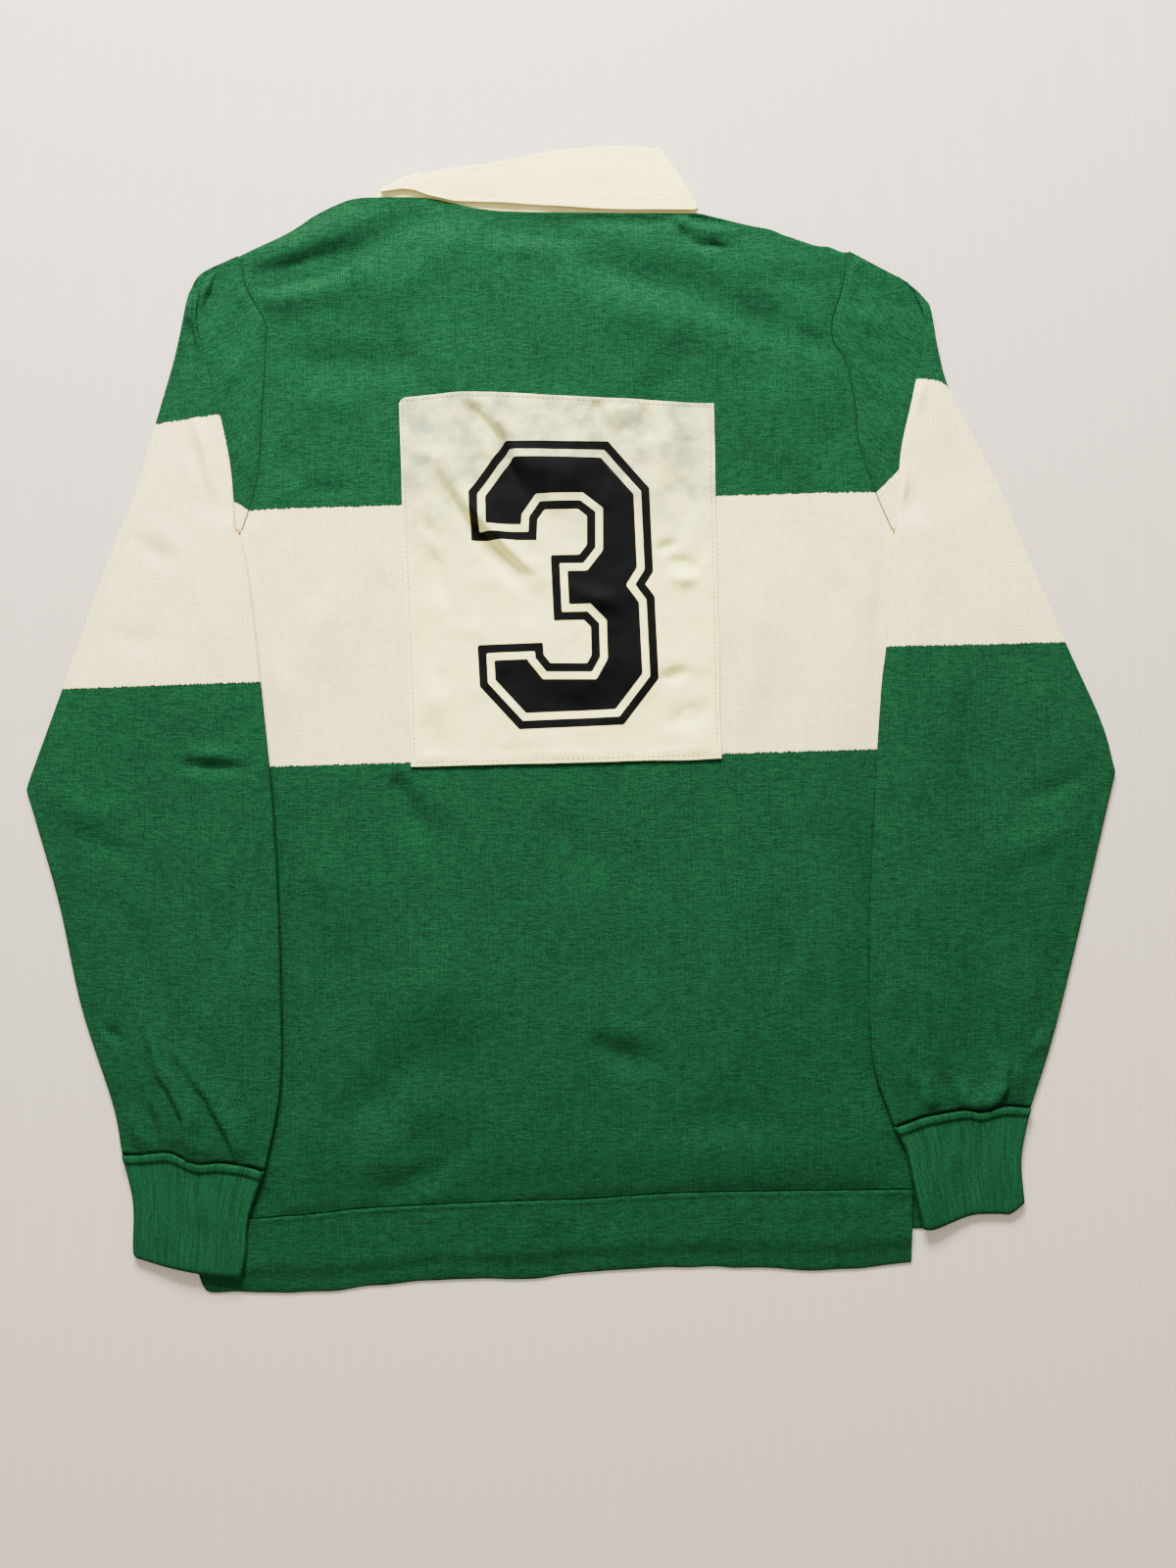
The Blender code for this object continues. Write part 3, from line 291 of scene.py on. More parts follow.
# Folds: the same, but the cloth on the right of each line lies over the cloth on its left
BODY_FOLDS = (
    ((106, 303, 0, 8), (96, 304, 1.6, 9), (86, 305, 2.6, 9), (78.3, 307.5, 3.0, 9),
     (73, 312, 2.8, 7), (70, 316, 2.2, 6), (68, 320, 0, 5)),
)
SLEEVE_FOLDS = (
    ((-243.5, -281, 1.0, 6), (-243.5, -272, 2.0, 8), (-244.5, -253, 2.8, 9),
     (-253, -235.5, 2.6, 9), (-262, -223.5, 2.0, 8), (-268, -203, 1.0, 7), (-271, -194, 0, 6)),
    ((-211.5, -280, 1.2, 6), (-214, -269, 2.2, 8), (-222.5, -253, 2.7, 9), (-231, -237, 2.2, 8),
     (-242, -223, 1.4, 7), (-252, -210, 0.8, 7), (-256, -202, 0, 6)),
    ((-244, 272, 0, 3), (-242, 266, 2.0, 3.4), (-240.5, 257, 2.2, 3.4), (-237.5, 249, 1.4, 3),
     (-235, 238, 0, 3)),
    ((279.5, -212, 0, 8), (277.5, -233, 2.2, 9), (273, -241.6, 2.8, 9), (267, -245.6, 3.0, 9),
     (254, -246, 3.0, 9), (249.5, -244, 2.8, 9), (248.5, -237, 2.2, 8), (246, -226, 0, 7)),
    ((290, -216, 0, 6), (298, -204, 1.4, 7), (303, -192, 0, 6)),
)
FOLD_DROP = 1.1

# The numeral's outline, clockwise, and how far in its cream line and its solid core begin
NUMERAL = ((-41, 177.2), (24, 177.2), (50, 148), (52.5, 95), (47.5, 87), (53.5, 79),
           (56, 27), (34, -2), (-32, -5), (-57, 22), (-58.5, 48), (-17.5, 49.5), (-17, 42),
           (-12.5, 36.5), (11, 36.5), (14, 42), (13.5, 60), (9, 64.5), (-10, 64), (-12, 105),
           (6, 105.5), (11, 112), (11, 130.5), (5, 135), (-16.5, 134.5), (-21, 128),
           (-21.5, 115), (-62.5, 115), (-64, 145.5))
LINE_IN, CORE_IN = 4.8, 9.8

# Shares of the patch that give its sewn edges more points, at the end and at the start
PATCH_EDGES = (0.9965,), (0.0035,)

# Soft hills of the cloth: height, size and seed of each layer
BODY_HILLS = (1.1, 62, 3), (0.45, 27, 4), (0.12, 11, 5)
PATCH_HILLS = (1.1, 17, 22), (0.45, 8, 26)
HEM_HILLS = (0.9, 16, 31), (0.9, 37, 35)
SLEEVE_HILLS = (0.4, 48, 41), (0.16, 22, 42), (0.05, 10, 43)
COLLAR_HILLS = (0.55, 19, 61), (0.25, 8, 62)


def smooth(t):
    """Ease from 0 to 1: 3 t squared less 2 t cubed."""
    t = np.clip(t, 0.0, 1.0)
    return t * t * (3 - 2 * t)


def rolled_off(t):
    """How far a rounded edge has dropped, a quarter circle: 1 at t = 0, 0 from t = 1 on."""
    return 1 - np.sqrt(1 - np.clip(1 - t, 0, 1) ** 2)


def curve(points, steps=8):
    """Catmull-Rom curve through the points of a table."""
    p = np.array(points, float)
    p = np.vstack([2 * p[0] - p[1], p, 2 * p[-1] - p[-2]])
    t = np.linspace(0, 1, steps, endpoint=False)[:, None]
    spans = [0.5 * (2 * b + (c - a) * t + (2 * a - 5 * b + 4 * c - d) * t ** 2
                    + (3 * b - a - 3 * c + d) * t ** 3)
             for a, b, c, d in zip(p, p[1:], p[2:], p[3:])]
    return np.vstack(spans + [p[-2][None]])


def along(points, shares):
    """Points at shares of the length of the curve through a table."""
    line = curve(points)
    length = np.concatenate([[0], np.cumsum(np.hypot(*np.diff(line, axis=0).T))])
    want = np.asarray(shares) * length[-1]
    return np.stack([np.interp(want, length, line[:, axis]) for axis in (0, 1)], axis=-1)


def x_at(points, y):
    """Where the curve through a table, read up or down, has the height y."""
    line = curve(points)
    line = line[np.argsort(line[:, 1])]
    return np.interp(y, line[:, 1], line[:, 0])


def y_at(points, x):
    """How high the curve through a table is at x."""
    line = curve(points)
    return np.interp(x, line[:, 0], line[:, 1])


def straight(points, y):
    """x at the height y on the straight line through two points."""
    (x0, y0), (x1, y1) = points
    return x0 + (x1 - x0) * (y - y0) / (y1 - y0)


def level(points, x):
    """y at x on the straight pieces between the points of a table."""
    return np.interp(x, *np.array(points, float).T)


def cloudy(x, y, size, seed):
    """Soft random hills of a given size: random heights on a square net, eased between."""
    heights = np.random.default_rng(seed).uniform(-1, 1, (97, 97))
    across, up = x / size + 48.3, y / size + 48.7
    i, j = np.floor(across).astype(int) % 96, np.floor(up).astype(int) % 96
    s, t = smooth(across - np.floor(across)), smooth(up - np.floor(up))
    low = heights[i, j] * (1 - s) + heights[i + 1, j] * s
    high = heights[i, j + 1] * (1 - s) + heights[i + 1, j + 1] * s
    return low * (1 - t) + high * t


def hilly(layers, x, y):
    """Sum of layers of soft random hills."""
    return sum(height * cloudy(x, y, size, seed) for height, size, seed in layers)


def beside(line, x, y):
    """How far places are from a line of a crease table, which side of it they are on, and
    the height and the half width there."""
    best = np.full_like(x, 1e6)
    right = np.zeros(x.shape, bool)
    rise, wide = np.zeros_like(x), np.ones_like(x)
    for (x0, y0, h0, w0), (x1, y1, h1, w1) in zip(line, line[1:]):
        run = np.array([x1 - x0, y1 - y0], float)
        share = np.clip(((x - x0) * run[0] + (y - y0) * run[1]) / (run @ run), 0, 1)
        away = np.hypot(x - x0 - share * run[0], y - y0 - share * run[1])
        near = away < best
        best = np.where(near, away, best)
        right = np.where(near, run[0] * (y - y0) < run[1] * (x - x0), right)
        rise = np.where(near, h0 + (h1 - h0) * share, rise)
        wide = np.where(near, w0 + (w1 - w0) * share, wide)
    return best, right, rise, wide


def creased(creases, x, y, broad=1.0):
    """Sum of the creases: each is a bell across its nearest piece of line, whose height and
    half width change evenly from point to point."""
    total = np.zeros_like(x)
    for line in creases:
        away, _, rise, wide = beside(line, x, y)
        total += rise * np.exp(-(away / wide / broad) ** 2)
    return total


def folded(folds, x, y):
    """Sum of the folds: each is a bell on the right of its line and a sharp drop on the
    left, so the cloth looks laid over itself."""
    total = np.zeros_like(x)
    for line in folds:
        away, right, rise, wide = beside(line, x, y)
        total += rise * np.exp(-(away / np.where(right, wide, FOLD_DROP)) ** 2)
    return total


def top_line(neck, x):
    """Shoulders and a neckline as one line."""
    shoulders = np.where(x < NECK_LEFT_X, y_at(SHOULDER_LEFT, x), y_at(SHOULDER_RIGHT, x))
    return np.where((x >= NECK_LEFT_X) & (x <= NECK_RIGHT_X), y_at(neck, x), shoulders)


def body_left(y):
    """Left edge of the body panels: the armhole seam, then the side."""
    return np.where(y > UNDERARM_LEFT, x_at(ARMHOLE_LEFT, y), x_at(SIDE_LEFT, y))


def body_right(y):
    """Right edge of the body panels."""
    return np.where(y > UNDERARM_RIGHT, x_at(ARMHOLE_RIGHT, y), x_at(SIDE_RIGHT, y))


def neck_rise(x, y, reach, ramp):
    """0 on the flat of the body, 1 over the collar's leaves and up to reach past them."""
    leaf = level(LEAF_REACH, x)
    rise = smooth((y - leaf + reach + ramp) / ramp)
    rise = rise * smooth((x - LEAVES_LEFT_X + reach + ramp) / ramp)
    return rise * smooth((LEAVES_RIGHT_X + reach + ramp - x) / ramp)


def inner_edge(sleeve, y):
    """The edge of a sleeve that lies on the body, below the armhole."""
    upper, lower = x_at(sleeve.upper_inner, y), x_at(sleeve.lower_inner, y)
    return np.where(y > sleeve.lower_inner[0][1], upper, lower)


def inside_patch(x, y):
    """How far a place is inside the patch's edge, less than 0 outside."""
    side = np.minimum(x - straight(PATCH_LEFT, y), straight(PATCH_RIGHT, y) - x)
    return np.minimum(side, np.minimum(y_at(PATCH_TOP, x) - y, y - y_at(PATCH_FOOT, x)))


def back_height(x, y):
    """Upper face of the back panel: flat at its edges, with air and creases between."""
    left = np.where(y > UNDERARM_LEFT, x_at(ARMHOLE_LEFT, y), inner_edge(SLEEVE_LEFT, y))
    right = np.where(y > UNDERARM_RIGHT, x_at(ARMHOLE_RIGHT, y), inner_edge(SLEEVE_RIGHT, y))
    side = np.minimum(x - left, right - x)
    top, hem = top_line(NECK_BACK, x) - y, y - y_at(HEM_SEAM, x)
    end = np.minimum(top, hem)
    air = 2.6 * smooth(side / 30) * smooth(end / 30) + 0.9 * smooth(hem / 5) * smooth(side / 12)
    folds = BODY_CREASE_GAIN * creased(BODY_CREASES, x, y, 1.1)
    folds = (folds + BODY_FOLD_GAIN * folded(BODY_FOLDS, x, y)) * smooth(end / 5)
    folds = (folds + hilly(BODY_HILLS, x, y) * smooth(end / 12)) * smooth(side / 12)
    under_patch = PATCH_CREASE_GAIN * creased(PATCH_CREASES, x, y, 1.2)
    folds += under_patch * smooth(inside_patch(x, y) / 7)
    puckers = 0.35 * cloudy(x, y * 0.2, 7, 6) * np.exp(-(hem / 7) ** 2)
    roll = 1.25 * rolled_off(np.maximum(top, 0) / 2.6)
    rise = neck_rise(x, y, 40, 30)
    return BACK_TOP + BACK_NECK_RISE * rise + np.maximum(air + folds, -0.1) + puckers \
        - roll * (1 - rise)


def spread(counts, end=(), start=()):
    """Shares between neighbouring lines, with more of them at the first and last line."""
    places = [(line, step / count) for line, count in enumerate(counts)
              for step in range(count)]
    places = places[:1] + [(0, share) for share in start] + places[1:]
    return places + [(len(counts) - 1, share) for share in (*end, 1.0)]


def panel_plan(across, upward, across_places, upward_places):
    """Plan of a panel between lines that run up it and lines that run across it.

    Each point is where a line blended from two neighbours of one kind meets one blended
    from two neighbours of the other kind, found by going back and forth between them.
    """
    column, part = (np.array(v) for v in zip(*across_places))
    row, share = (np.array(v)[:, None] for v in zip(*upward_places))
    x = np.zeros((len(row), len(column)))
    y = np.zeros_like(x)

    def blended(lines, first, between):
        """Place between the first of two lines and the next one, for each point."""
        low, high = (np.take_along_axis(lines, np.broadcast_to(number, x.shape)[None], 0)[0]
                     for number in (first, first + 1))
        return (1 - between) * low + between * high

    for _ in range(12):
        x = blended(np.stack([line(y) for line in across]), column, part)
        y = blended(np.stack([line(x) for line in upward]), row, share)
    return x, y


def band_distance(edges, x, y):
    """How far a place is inside a white band, less than 0 outside it."""
    upper, lower = edges
    return np.minimum(level(upper, x) - y, y - level(lower, x))


def add_object(name, data):
    """Puts a mesh, a light or a camera into the scene."""
    obj = bpy.data.objects.new(name, data)
    bpy.context.scene.collection.objects.link(obj)
    return obj


def add_mesh(name, points, faces, uv, finish):
    """A smooth mesh from points, faces and a place along the cloth for each point."""
    mesh = bpy.data.meshes.new(name)
    mesh.from_pydata((points * MM).tolist(), [], faces)
    corners = [point for face in faces for point in face]
    layer = mesh.uv_layers.new(name="cloth")
    layer.data.foreach_set("uv", (uv * MM)[corners].astype(np.float32).ravel())
    mesh.polygons.foreach_set("use_smooth", np.ones(len(faces), bool))
    mesh.materials.append(finish)
    mesh.update()
    return add_object(name, mesh)


def net(index):
    """Quads between the neighbouring rows and columns of a grid of point numbers."""
    return np.stack([index[:-1, :-1], index[:-1, 1:], index[1:, 1:], index[1:, :-1]], -1)


class Cloth:
    """Collects grids of points into one mesh with a UV map and the values of its patterns.
    Where a grid has no pattern, its value is that of a place outside the white bands."""

    OUTSIDE = -5.0

    def __init__(self):
        self.points, self.uv, self.values, self.quads = [], [], [], []
        self.count = 0

    def grid(self, points, uv, values=None, flip=False, ring=False, leave_out=None):
        """Adds a grid. A ring's last column joins its first. Faces point up where rows go
        up the sheet and columns go to the right."""
        rows, columns = points.shape[:2]
        index = self.count + np.arange(rows * columns).reshape(rows, columns)
        if ring:
            index = np.hstack([index, index[:, :1]])
        quads = net(index)
        if leave_out is not None:
            quads = quads[~leave_out]
        quads = quads.reshape(-1, 4)
        self.quads.append(quads[:, ::-1] if flip else quads)
        self.points.append(points.reshape(-1, 3))
        self.uv.append(uv.reshape(-1, 2))
        self.values.append(np.full(rows * columns, self.OUTSIDE) if values is None
                           else np.asarray(values, float).reshape(-1))
        self.count += rows * columns
        return index

    def strip(self, first, second, flip=False):
        """Joins two lines of points that are there already."""
        quads = np.stack([first[:-1], first[1:], second[1:], second[:-1]], -1)
        self.quads.append(quads[:, ::-1] if flip else quads)

    def build(self, name, finish, thickness=0.0, middle=False, bevel=0.0):
        """Makes the object, with a wall behind its face and a small round on its edges."""
        obj = add_mesh(name, np.vstack(self.points), np.vstack(self.quads).tolist(),
                       np.vstack(self.uv), finish)
        value = obj.data.attributes.new("pattern", "FLOAT", "POINT")
        value.data.foreach_set("value", (np.concatenate(self.values) * MM).astype(np.float32))
        if thickness:
            wall = obj.modifiers.new("cloth", "SOLIDIFY")
            wall.thickness = thickness * MM
            wall.offset = 0 if middle else -1
            wall.use_even_offset = False
        if bevel:
            edge = obj.modifiers.new("edge", "BEVEL")
            edge.width = bevel * MM
            edge.segments = 2
            edge.limit_method = "ANGLE"
            edge.angle_limit = math.radians(50)
        return obj


class Value:
    """One output of a node, so that shader maths reads as an expression."""

    def __init__(self, finish, socket):
        self.finish, self.socket = finish, socket

    def maths(self, operation, *terms):
        return self.finish.node("Math", {"operation": operation}, dict(enumerate(terms)))

    def __add__(self, other):
        return self.maths("ADD", self, other)

    def __sub__(self, other):
        return self.maths("SUBTRACT", self, other)

    def __rsub__(self, other):
        return self.maths("SUBTRACT", other, self)

    def __mul__(self, other):
        return self.maths("MULTIPLY", self, other)

    def __truediv__(self, other):
        return self.maths("DIVIDE", self, other)

    __radd__, __rmul__ = __add__, __mul__

    def zigzag(self):
        """0 at whole numbers, 1 half way between them."""
        return self.maths("PINGPONG", self, 0.5) * 2

    def sine(self):
        return self.maths("SINE", self)

    def ramp(self, low, high):
        """0 below low, 1 above high, eased between."""
        return self.finish.node("MapRange", {"interpolation_type": "SMOOTHSTEP"},
                                {"Value": self, "From Min": low, "From Max": high})


class Finish:
    """A material with a Principled shader, built by expressions on Value objects."""

    def __init__(self, name, roughness, sheen=0.0, specular=0.3):
        self.material = bpy.data.materials.new(name)
        self.material.use_nodes = True
        self.tree = self.material.node_tree
        self.shader = self.tree.nodes["Principled BSDF"]
        for socket, value in (("Roughness", roughness), ("Sheen Weight", sheen),
                              ("Sheen Roughness", 0.5), ("Specular IOR Level", specular)):
            self.shader.inputs[socket].default_value = value

    def node(self, kind, settings=None, inputs=None, output=0):
        """Adds a node, sets its settings first and then its sockets' values or links."""
        node = self.tree.nodes.new("ShaderNode" + kind)
        for key, value in (settings or {}).items():
            setattr(node, key, value)
        for key, value in (inputs or {}).items():
            self.put(node.inputs[key], value)
        return Value(self, node.outputs[output])

    def put(self, socket, value):
        """Links a Value to a socket, or sets a plain number or colour on it."""
        if isinstance(value, Value):
            self.tree.links.new(value.socket, socket)
        else:
            socket.default_value = (*value, 1) if hasattr(value, "__len__") \
                and len(value) == 3 and socket.type == "RGBA" else value

    def cloth_place(self):
        """Place along the cloth in millimetres, across and up."""
        uv = self.node("UVMap", {"uv_map": "cloth"})
        return (self.node("SeparateXYZ", None, {0: uv}, "X") * 1000,
                self.node("SeparateXYZ", None, {0: uv}, "Y") * 1000)

    def pattern(self):
        """The mesh's own pattern value in millimetres."""
        return self.node("Attribute", {"attribute_name": "pattern"}, None, "Fac") * 1000

    def noise(self, x, y, detail=2.0, seed=0.0):
        """Soft noise from 0 to 1 at x, y, which are given in lumps of noise."""
        place = self.node("CombineXYZ", None, {0: x, 1: y, 2: seed})
        return self.node("TexNoise", None, {"Vector": place, "Scale": 1.0, "Detail": detail,
                                            "Roughness": 0.55})

    def mix(self, share, first, second, kind="MIX"):
        """Colour between first and second."""
        node = self.tree.nodes.new("ShaderNodeMix")
        node.data_type = "RGBA"
        node.blend_type = kind
        self.put(node.inputs[0], share)
        self.put(node.inputs[6], first)
        self.put(node.inputs[7], second)
        return Value(self, node.outputs[2])

    def plain(self, colour):
        """The same colour everywhere."""
        return self.node("CombineColor", None, dict(enumerate(colour)))

    def shade(self, colour, amount):
        """Colour times a grey amount."""
        grey = self.node("CombineColor", None, {0: amount, 1: amount, 2: amount})
        return self.mix(1.0, colour, grey, "MULTIPLY")

    def done(self, colour, height=None, depth=0.2, strength=1.0, roughness=None):
        """Feeds the shader: its colour, and a bump of a depth in millimetres."""
        self.put(self.shader.inputs["Base Color"], colour)
        if roughness is not None:
            self.put(self.shader.inputs["Roughness"], roughness)
        if height is not None:
            bump = self.node("Bump", None, {"Height": height, "Distance": depth * MM,
                                            "Strength": strength})
            self.put(self.shader.inputs["Normal"], bump)
        return self.material


GREEN_DEEP, GREEN_LIGHT = (0.0013, 0.0185, 0.0060), (0.0066, 0.0600, 0.0210)
WHITE_DEEP, WHITE_LIGHT = (0.74, 0.60, 0.28), (1.0, 0.87, 0.41)
INK_DEEP, INK_LIGHT = (0.0012, 0.0011, 0.0012), (0.0036, 0.0033, 0.0036)
SHEET = (0.54, 0.455, 0.355)


def stitch_height(u, v):
    """Height of plain knit: two legs to a wale that lean together as a V, from course to
    course, with a deep groove between wales."""
    across = (u / WALE).zigzag()
    leg = (across * math.pi).sine()
    slope = ((v / COURSE) + across * 0.55).zigzag()
    return leg * (slope * 0.6 + 0.4), across


def knit_finish(name):
    """Heathered knit in green and warm white, whose border steps from stitch to stitch, with
    painted shade in the grooves between its wales.
    """
    m = Finish(name, 0.95, specular=0.06)
    u, v = m.cloth_place()
    height, across = stitch_height(u, v)
    streaks = m.noise(u / 5.5, v / COURSE, 2.0, 1.7)
    flecks = m.noise(u / 1.4, v / 0.8, 1.0, 5.1)
    wales = m.noise(u / WALE, v / 30, 1.0, 7.7)
    clouds = m.noise(u / 38, v / 30, 3.0, 9.4)
    heather = ((streaks * 0.8 + flecks * 0.9 + wales * 0.2 + clouds * 0.12) * 1.3
               - 0.84).ramp(0.0, 1.0)
    green = m.mix(heather, GREEN_DEEP, GREEN_LIGHT)
    white = m.mix(heather, WHITE_DEEP, WHITE_LIGHT)
    steps = (m.noise(u / 1.1, v / 400, 0.0, 3.3) - 0.5) * 2.0
    inside = (m.pattern() + steps).ramp(-0.4, 0.4)
    colour = m.mix(inside, green, white)
    # Painted shade: the colour is darkened in the grooves between wales and where the stitch is
    # low.
    groove = across.ramp(0.0, 0.5) * 0.34 + height * 0.10 + 0.64
    return m.done(m.shade(colour, groove), height + flecks * 0.4, 0.28, 0.75)


def rib_finish(name):
    """Green rib knit: its ribs are in the mesh, its stitches in the bump, and painted shade in
    stripes along the ribs.
    """
    m = Finish(name, 0.95, specular=0.06)
    u, v = m.cloth_place()
    streaks = m.noise(u / 2.4, v / COURSE, 2.0, 2.2)
    flecks = m.noise(u / 1.0, v / 0.8, 1.0, 4.4)
    long = m.noise(u / RIB, v / 24, 1.0, 3.7)
    heather = (streaks * 0.7 + flecks * 0.4 + long * 0.7 - 0.4).ramp(0.0, 1.0)
    rib = (u / RIB).zigzag()
    height = ((v / COURSE) + rib * 0.5).zigzag()
    # Painted shade: the colour is darkened in stripes that follow the ribs.
    colour = m.shade(m.mix(heather, GREEN_DEEP, GREEN_LIGHT), rib * 0.44 + 0.80)
    return m.done(colour, height + flecks * 0.5, 0.2, 0.6)


def twill_finish(name, light, deep, tint=None):
    """Fine woven twill: diagonal lines half a millimetre apart over soft clouds of tone."""
    m = Finish(name, 0.85, specular=0.04)
    u, v = m.cloth_place()
    weave = (u * 1.7 + v * 1.7).zigzag()
    slubs = m.noise(u / 5, v / 0.6, 2.0, 1.1)
    clouds = m.noise(u / 26, v / 22, 3.0, 6.6)
    colour = m.mix((slubs * 0.6 + clouds * 0.9 - 0.25).ramp(0.1, 0.9), deep, light)
    if tint:
        stains = m.noise(u / 17, v / 15, 3.0, 2.9).ramp(0.35, 0.7)
        over_green = v.ramp(80, 175) * (stains * 0.5 + 0.35) + stains * 0.1
        colour = m.mix(over_green, colour, tint)
    # Painted shade: the colour is a little darker along the low diagonals of the weave.
    colour = m.shade(colour, weave * 0.05 + 0.95)
    if tint is None:
        return m.done(colour, weave + slubs * 0.8, 0.09, 0.6)
    ink = m.pattern().ramp(-0.12, 0.12)
    wear = (m.noise(u / 0.8, v / 0.8, 2.0, 8.8) * 1.2 - 0.2).ramp(0.0, 1.0)
    black = m.mix(wear, INK_DEEP, INK_LIGHT)
    roughness = 0.85 - ink * 0.12
    return m.done(m.mix(ink, colour, black), weave + slubs * 0.8, 0.09, 0.6, roughness)


def thread_finish(name, colour):
    """Sewing thread with a fine twist."""
    m = Finish(name, 0.9, specular=0.04)
    u, v = m.cloth_place()
    twist = (u * 2.5 + v * 2.5).zigzag()
    # Painted shade: the colour is darker in the low turns of the twist.
    return m.done(m.shade(m.plain(colour), twist * 0.25 + 0.75), twist, 0.05, 0.5)


def turned(x, y, angle):
    """Place along the cloth where its wales lean by an angle."""
    c, s = math.cos(angle), math.sin(angle)
    return np.stack([x * c + y * s, y * c - x * s], axis=-1)


def make_back():
    """The back panel."""
    x, y = panel_plan(
        (body_left, partial(straight, PATCH_LEFT), partial(straight, PATCH_RIGHT), body_right),
        (partial(y_at, HEM_SEAM), partial(y_at, PATCH_FOOT), partial(y_at, PATCH_TOP),
         partial(top_line, NECK_BACK)),
        spread((42, 90, 42)),
        spread((76, 94, 60), (0.984, 0.989, 0.994), (0.003, 0.007)))
    cloth = Cloth()
    cloth.grid(np.stack([x, y, back_height(x, y)], -1), turned(x, y, TILT),
               band_distance(BODY_BAND, x, y))
    return cloth.build("body_back", knit, KNIT, bevel=0.4)


def front_height(x, y):
    """Upper face of the front panel."""
    return KNIT + FRONT_NECK_RISE * neck_rise(x, y, 16, 16)


def make_front():
    """The front panel, which lies under the back, with its slit for the placket."""
    columns, rows = (48, 12, 48), (55, 60, 40)
    x, y = panel_plan(
        (body_left, lambda y: PLACKET_LEFT - SEAM + 0 * y,
         lambda y: PLACKET_RIGHT + SEAM + 0 * y, body_right),
        (lambda x: y_at(HEM_SEAM, x) + FRONT_SHORTER, partial(y_at, PATCH_FOOT),
         partial(y_at, PATCH_TOP),
         lambda x: top_line(NECK_FRONT, x) - 2.4 * ((x < NECK_LEFT_X) | (x > NECK_RIGHT_X))),
        spread(columns), spread(rows))
    slit = np.zeros((len(x) - 1, x.shape[1] - 1), bool)
    first = int(np.argmax(y[:, columns[0]] > SLIT_FOOT))
    slit[first:, columns[0]:columns[0] + columns[1]] = True
    cloth = Cloth()
    cloth.grid(np.stack([x, y, front_height(x, y)], -1), turned(x, y, TILT),
               band_distance(BODY_BAND, x, y), leave_out=slit)
    return cloth.build("body_front", knit, KNIT, bevel=0.3), y[first, columns[0]]


def make_placket(foot):
    """A plain strip in the front's slit."""
    share = np.linspace(0, 1, 13)
    x = PLACKET_LEFT + SEAM + (PLACKET_RIGHT - PLACKET_LEFT - 2 * SEAM) * share
    up = np.linspace(0, 1, 60)[:, None]
    y = foot + SEAM + (y_at(NECK_FRONT, x) - foot - SEAM) * up
    x = np.broadcast_to(x, y.shape)
    cloth = Cloth()
    cloth.grid(np.stack([x, y, front_height(x, y)], -1), np.stack([x, y], -1))
    return cloth.build("placket_strip", twill, KNIT, bevel=0.3)


def patch_height(x, y):
    """Upper face of the patch: on the back panel, with its turned edge and own creases."""
    edge = inside_patch(x, y)
    turned_edge = 0.35 * (1 - smooth((edge - 7.5) / 1.6))
    sewn = -0.3 * np.exp(-((edge - 2.4) / 0.9) ** 2) - 0.25 * (1 - smooth(edge / 1.2))
    puckers = 0.3 * cloudy(x, y, 5, 21) * np.exp(-(edge / 9) ** 2)
    folds = hilly(PATCH_HILLS, x, y) * smooth(edge / 9)
    return back_height(x, y) + SEAM + PATCH_CLOTH + turned_edge + sewn + puckers \
        + np.maximum(folds, -0.5) + 0.5


def numeral_insets():
    """The numeral's outline moved in by the widths of its lines, with sharp corners."""
    points = np.array(NUMERAL, float)
    way = np.roll(points, -1, 0) - points
    way /= np.hypot(*way.T)[:, None]
    inward = np.stack([way[:, 1], -way[:, 0]], -1)
    before = np.roll(inward, 1, 0)
    corner = (inward + before) / (1 + (inward * before).sum(1))[:, None]
    return [points + corner * width for width in (0, LINE_IN, CORE_IN)]


def inside_distance(polygon, x, y):
    """Distance to the nearest side of a polygon, more than 0 inside it."""
    nearest = np.full_like(x, 1e6)
    inside = np.zeros(x.shape, bool)
    for (x0, y0), (x1, y1) in zip(polygon, np.roll(polygon, -1, 0)):
        run = (x1 - x0) ** 2 + (y1 - y0) ** 2
        share = np.clip(((x - x0) * (x1 - x0) + (y - y0) * (y1 - y0)) / run, 0, 1)
        away = np.hypot(x - x0 - share * (x1 - x0), y - y0 - share * (y1 - y0))
        nearest = np.minimum(nearest, away)
        if y0 != y1:
            crosses = ((y0 > y) != (y1 > y)) & (x < x0 + (y - y0) * (x1 - x0) / (y1 - y0))
            inside ^= crosses
    return np.where(inside, nearest, -nearest)


def make_patch():
    """The number patch, whose print is a value on its mesh: more than 0 is ink."""
    x, y = panel_plan(
        (partial(straight, PATCH_LEFT), partial(straight, PATCH_RIGHT)),
        (partial(y_at, PATCH_FOOT), partial(y_at, PATCH_TOP)),
        spread((160,), *PATCH_EDGES), spread((188,), *PATCH_EDGES))
    pulled_in, middle_y, sway = 1.4, 90, 0.5
    corner = smooth(1 - np.abs(np.abs(x / np.abs(x).max()) - 1) * 26) \
        * smooth(1 - np.minimum(y_at(PATCH_TOP, x) - y, y - y_at(PATCH_FOOT, x)) / 4)
    x = x - pulled_in * corner * np.sign(x) + sway * cloudy(0 * x, y, 23, 24)
    y = y - pulled_in * corner * np.sign(y - middle_y) + sway * cloudy(x, 0 * y, 27, 25)
    outer, line, core = (inside_distance(p, x, y) for p in numeral_insets())
    ink = np.maximum(np.minimum(outer, -line) + 0.35, core)
    cloth = Cloth()
    cloth.grid(np.stack([x, y, patch_height(x, y)], -1), turned(x, y, TILT), ink)
    return cloth.build("number_patch_cloth", printed, PATCH_CLOTH, bevel=0.25)


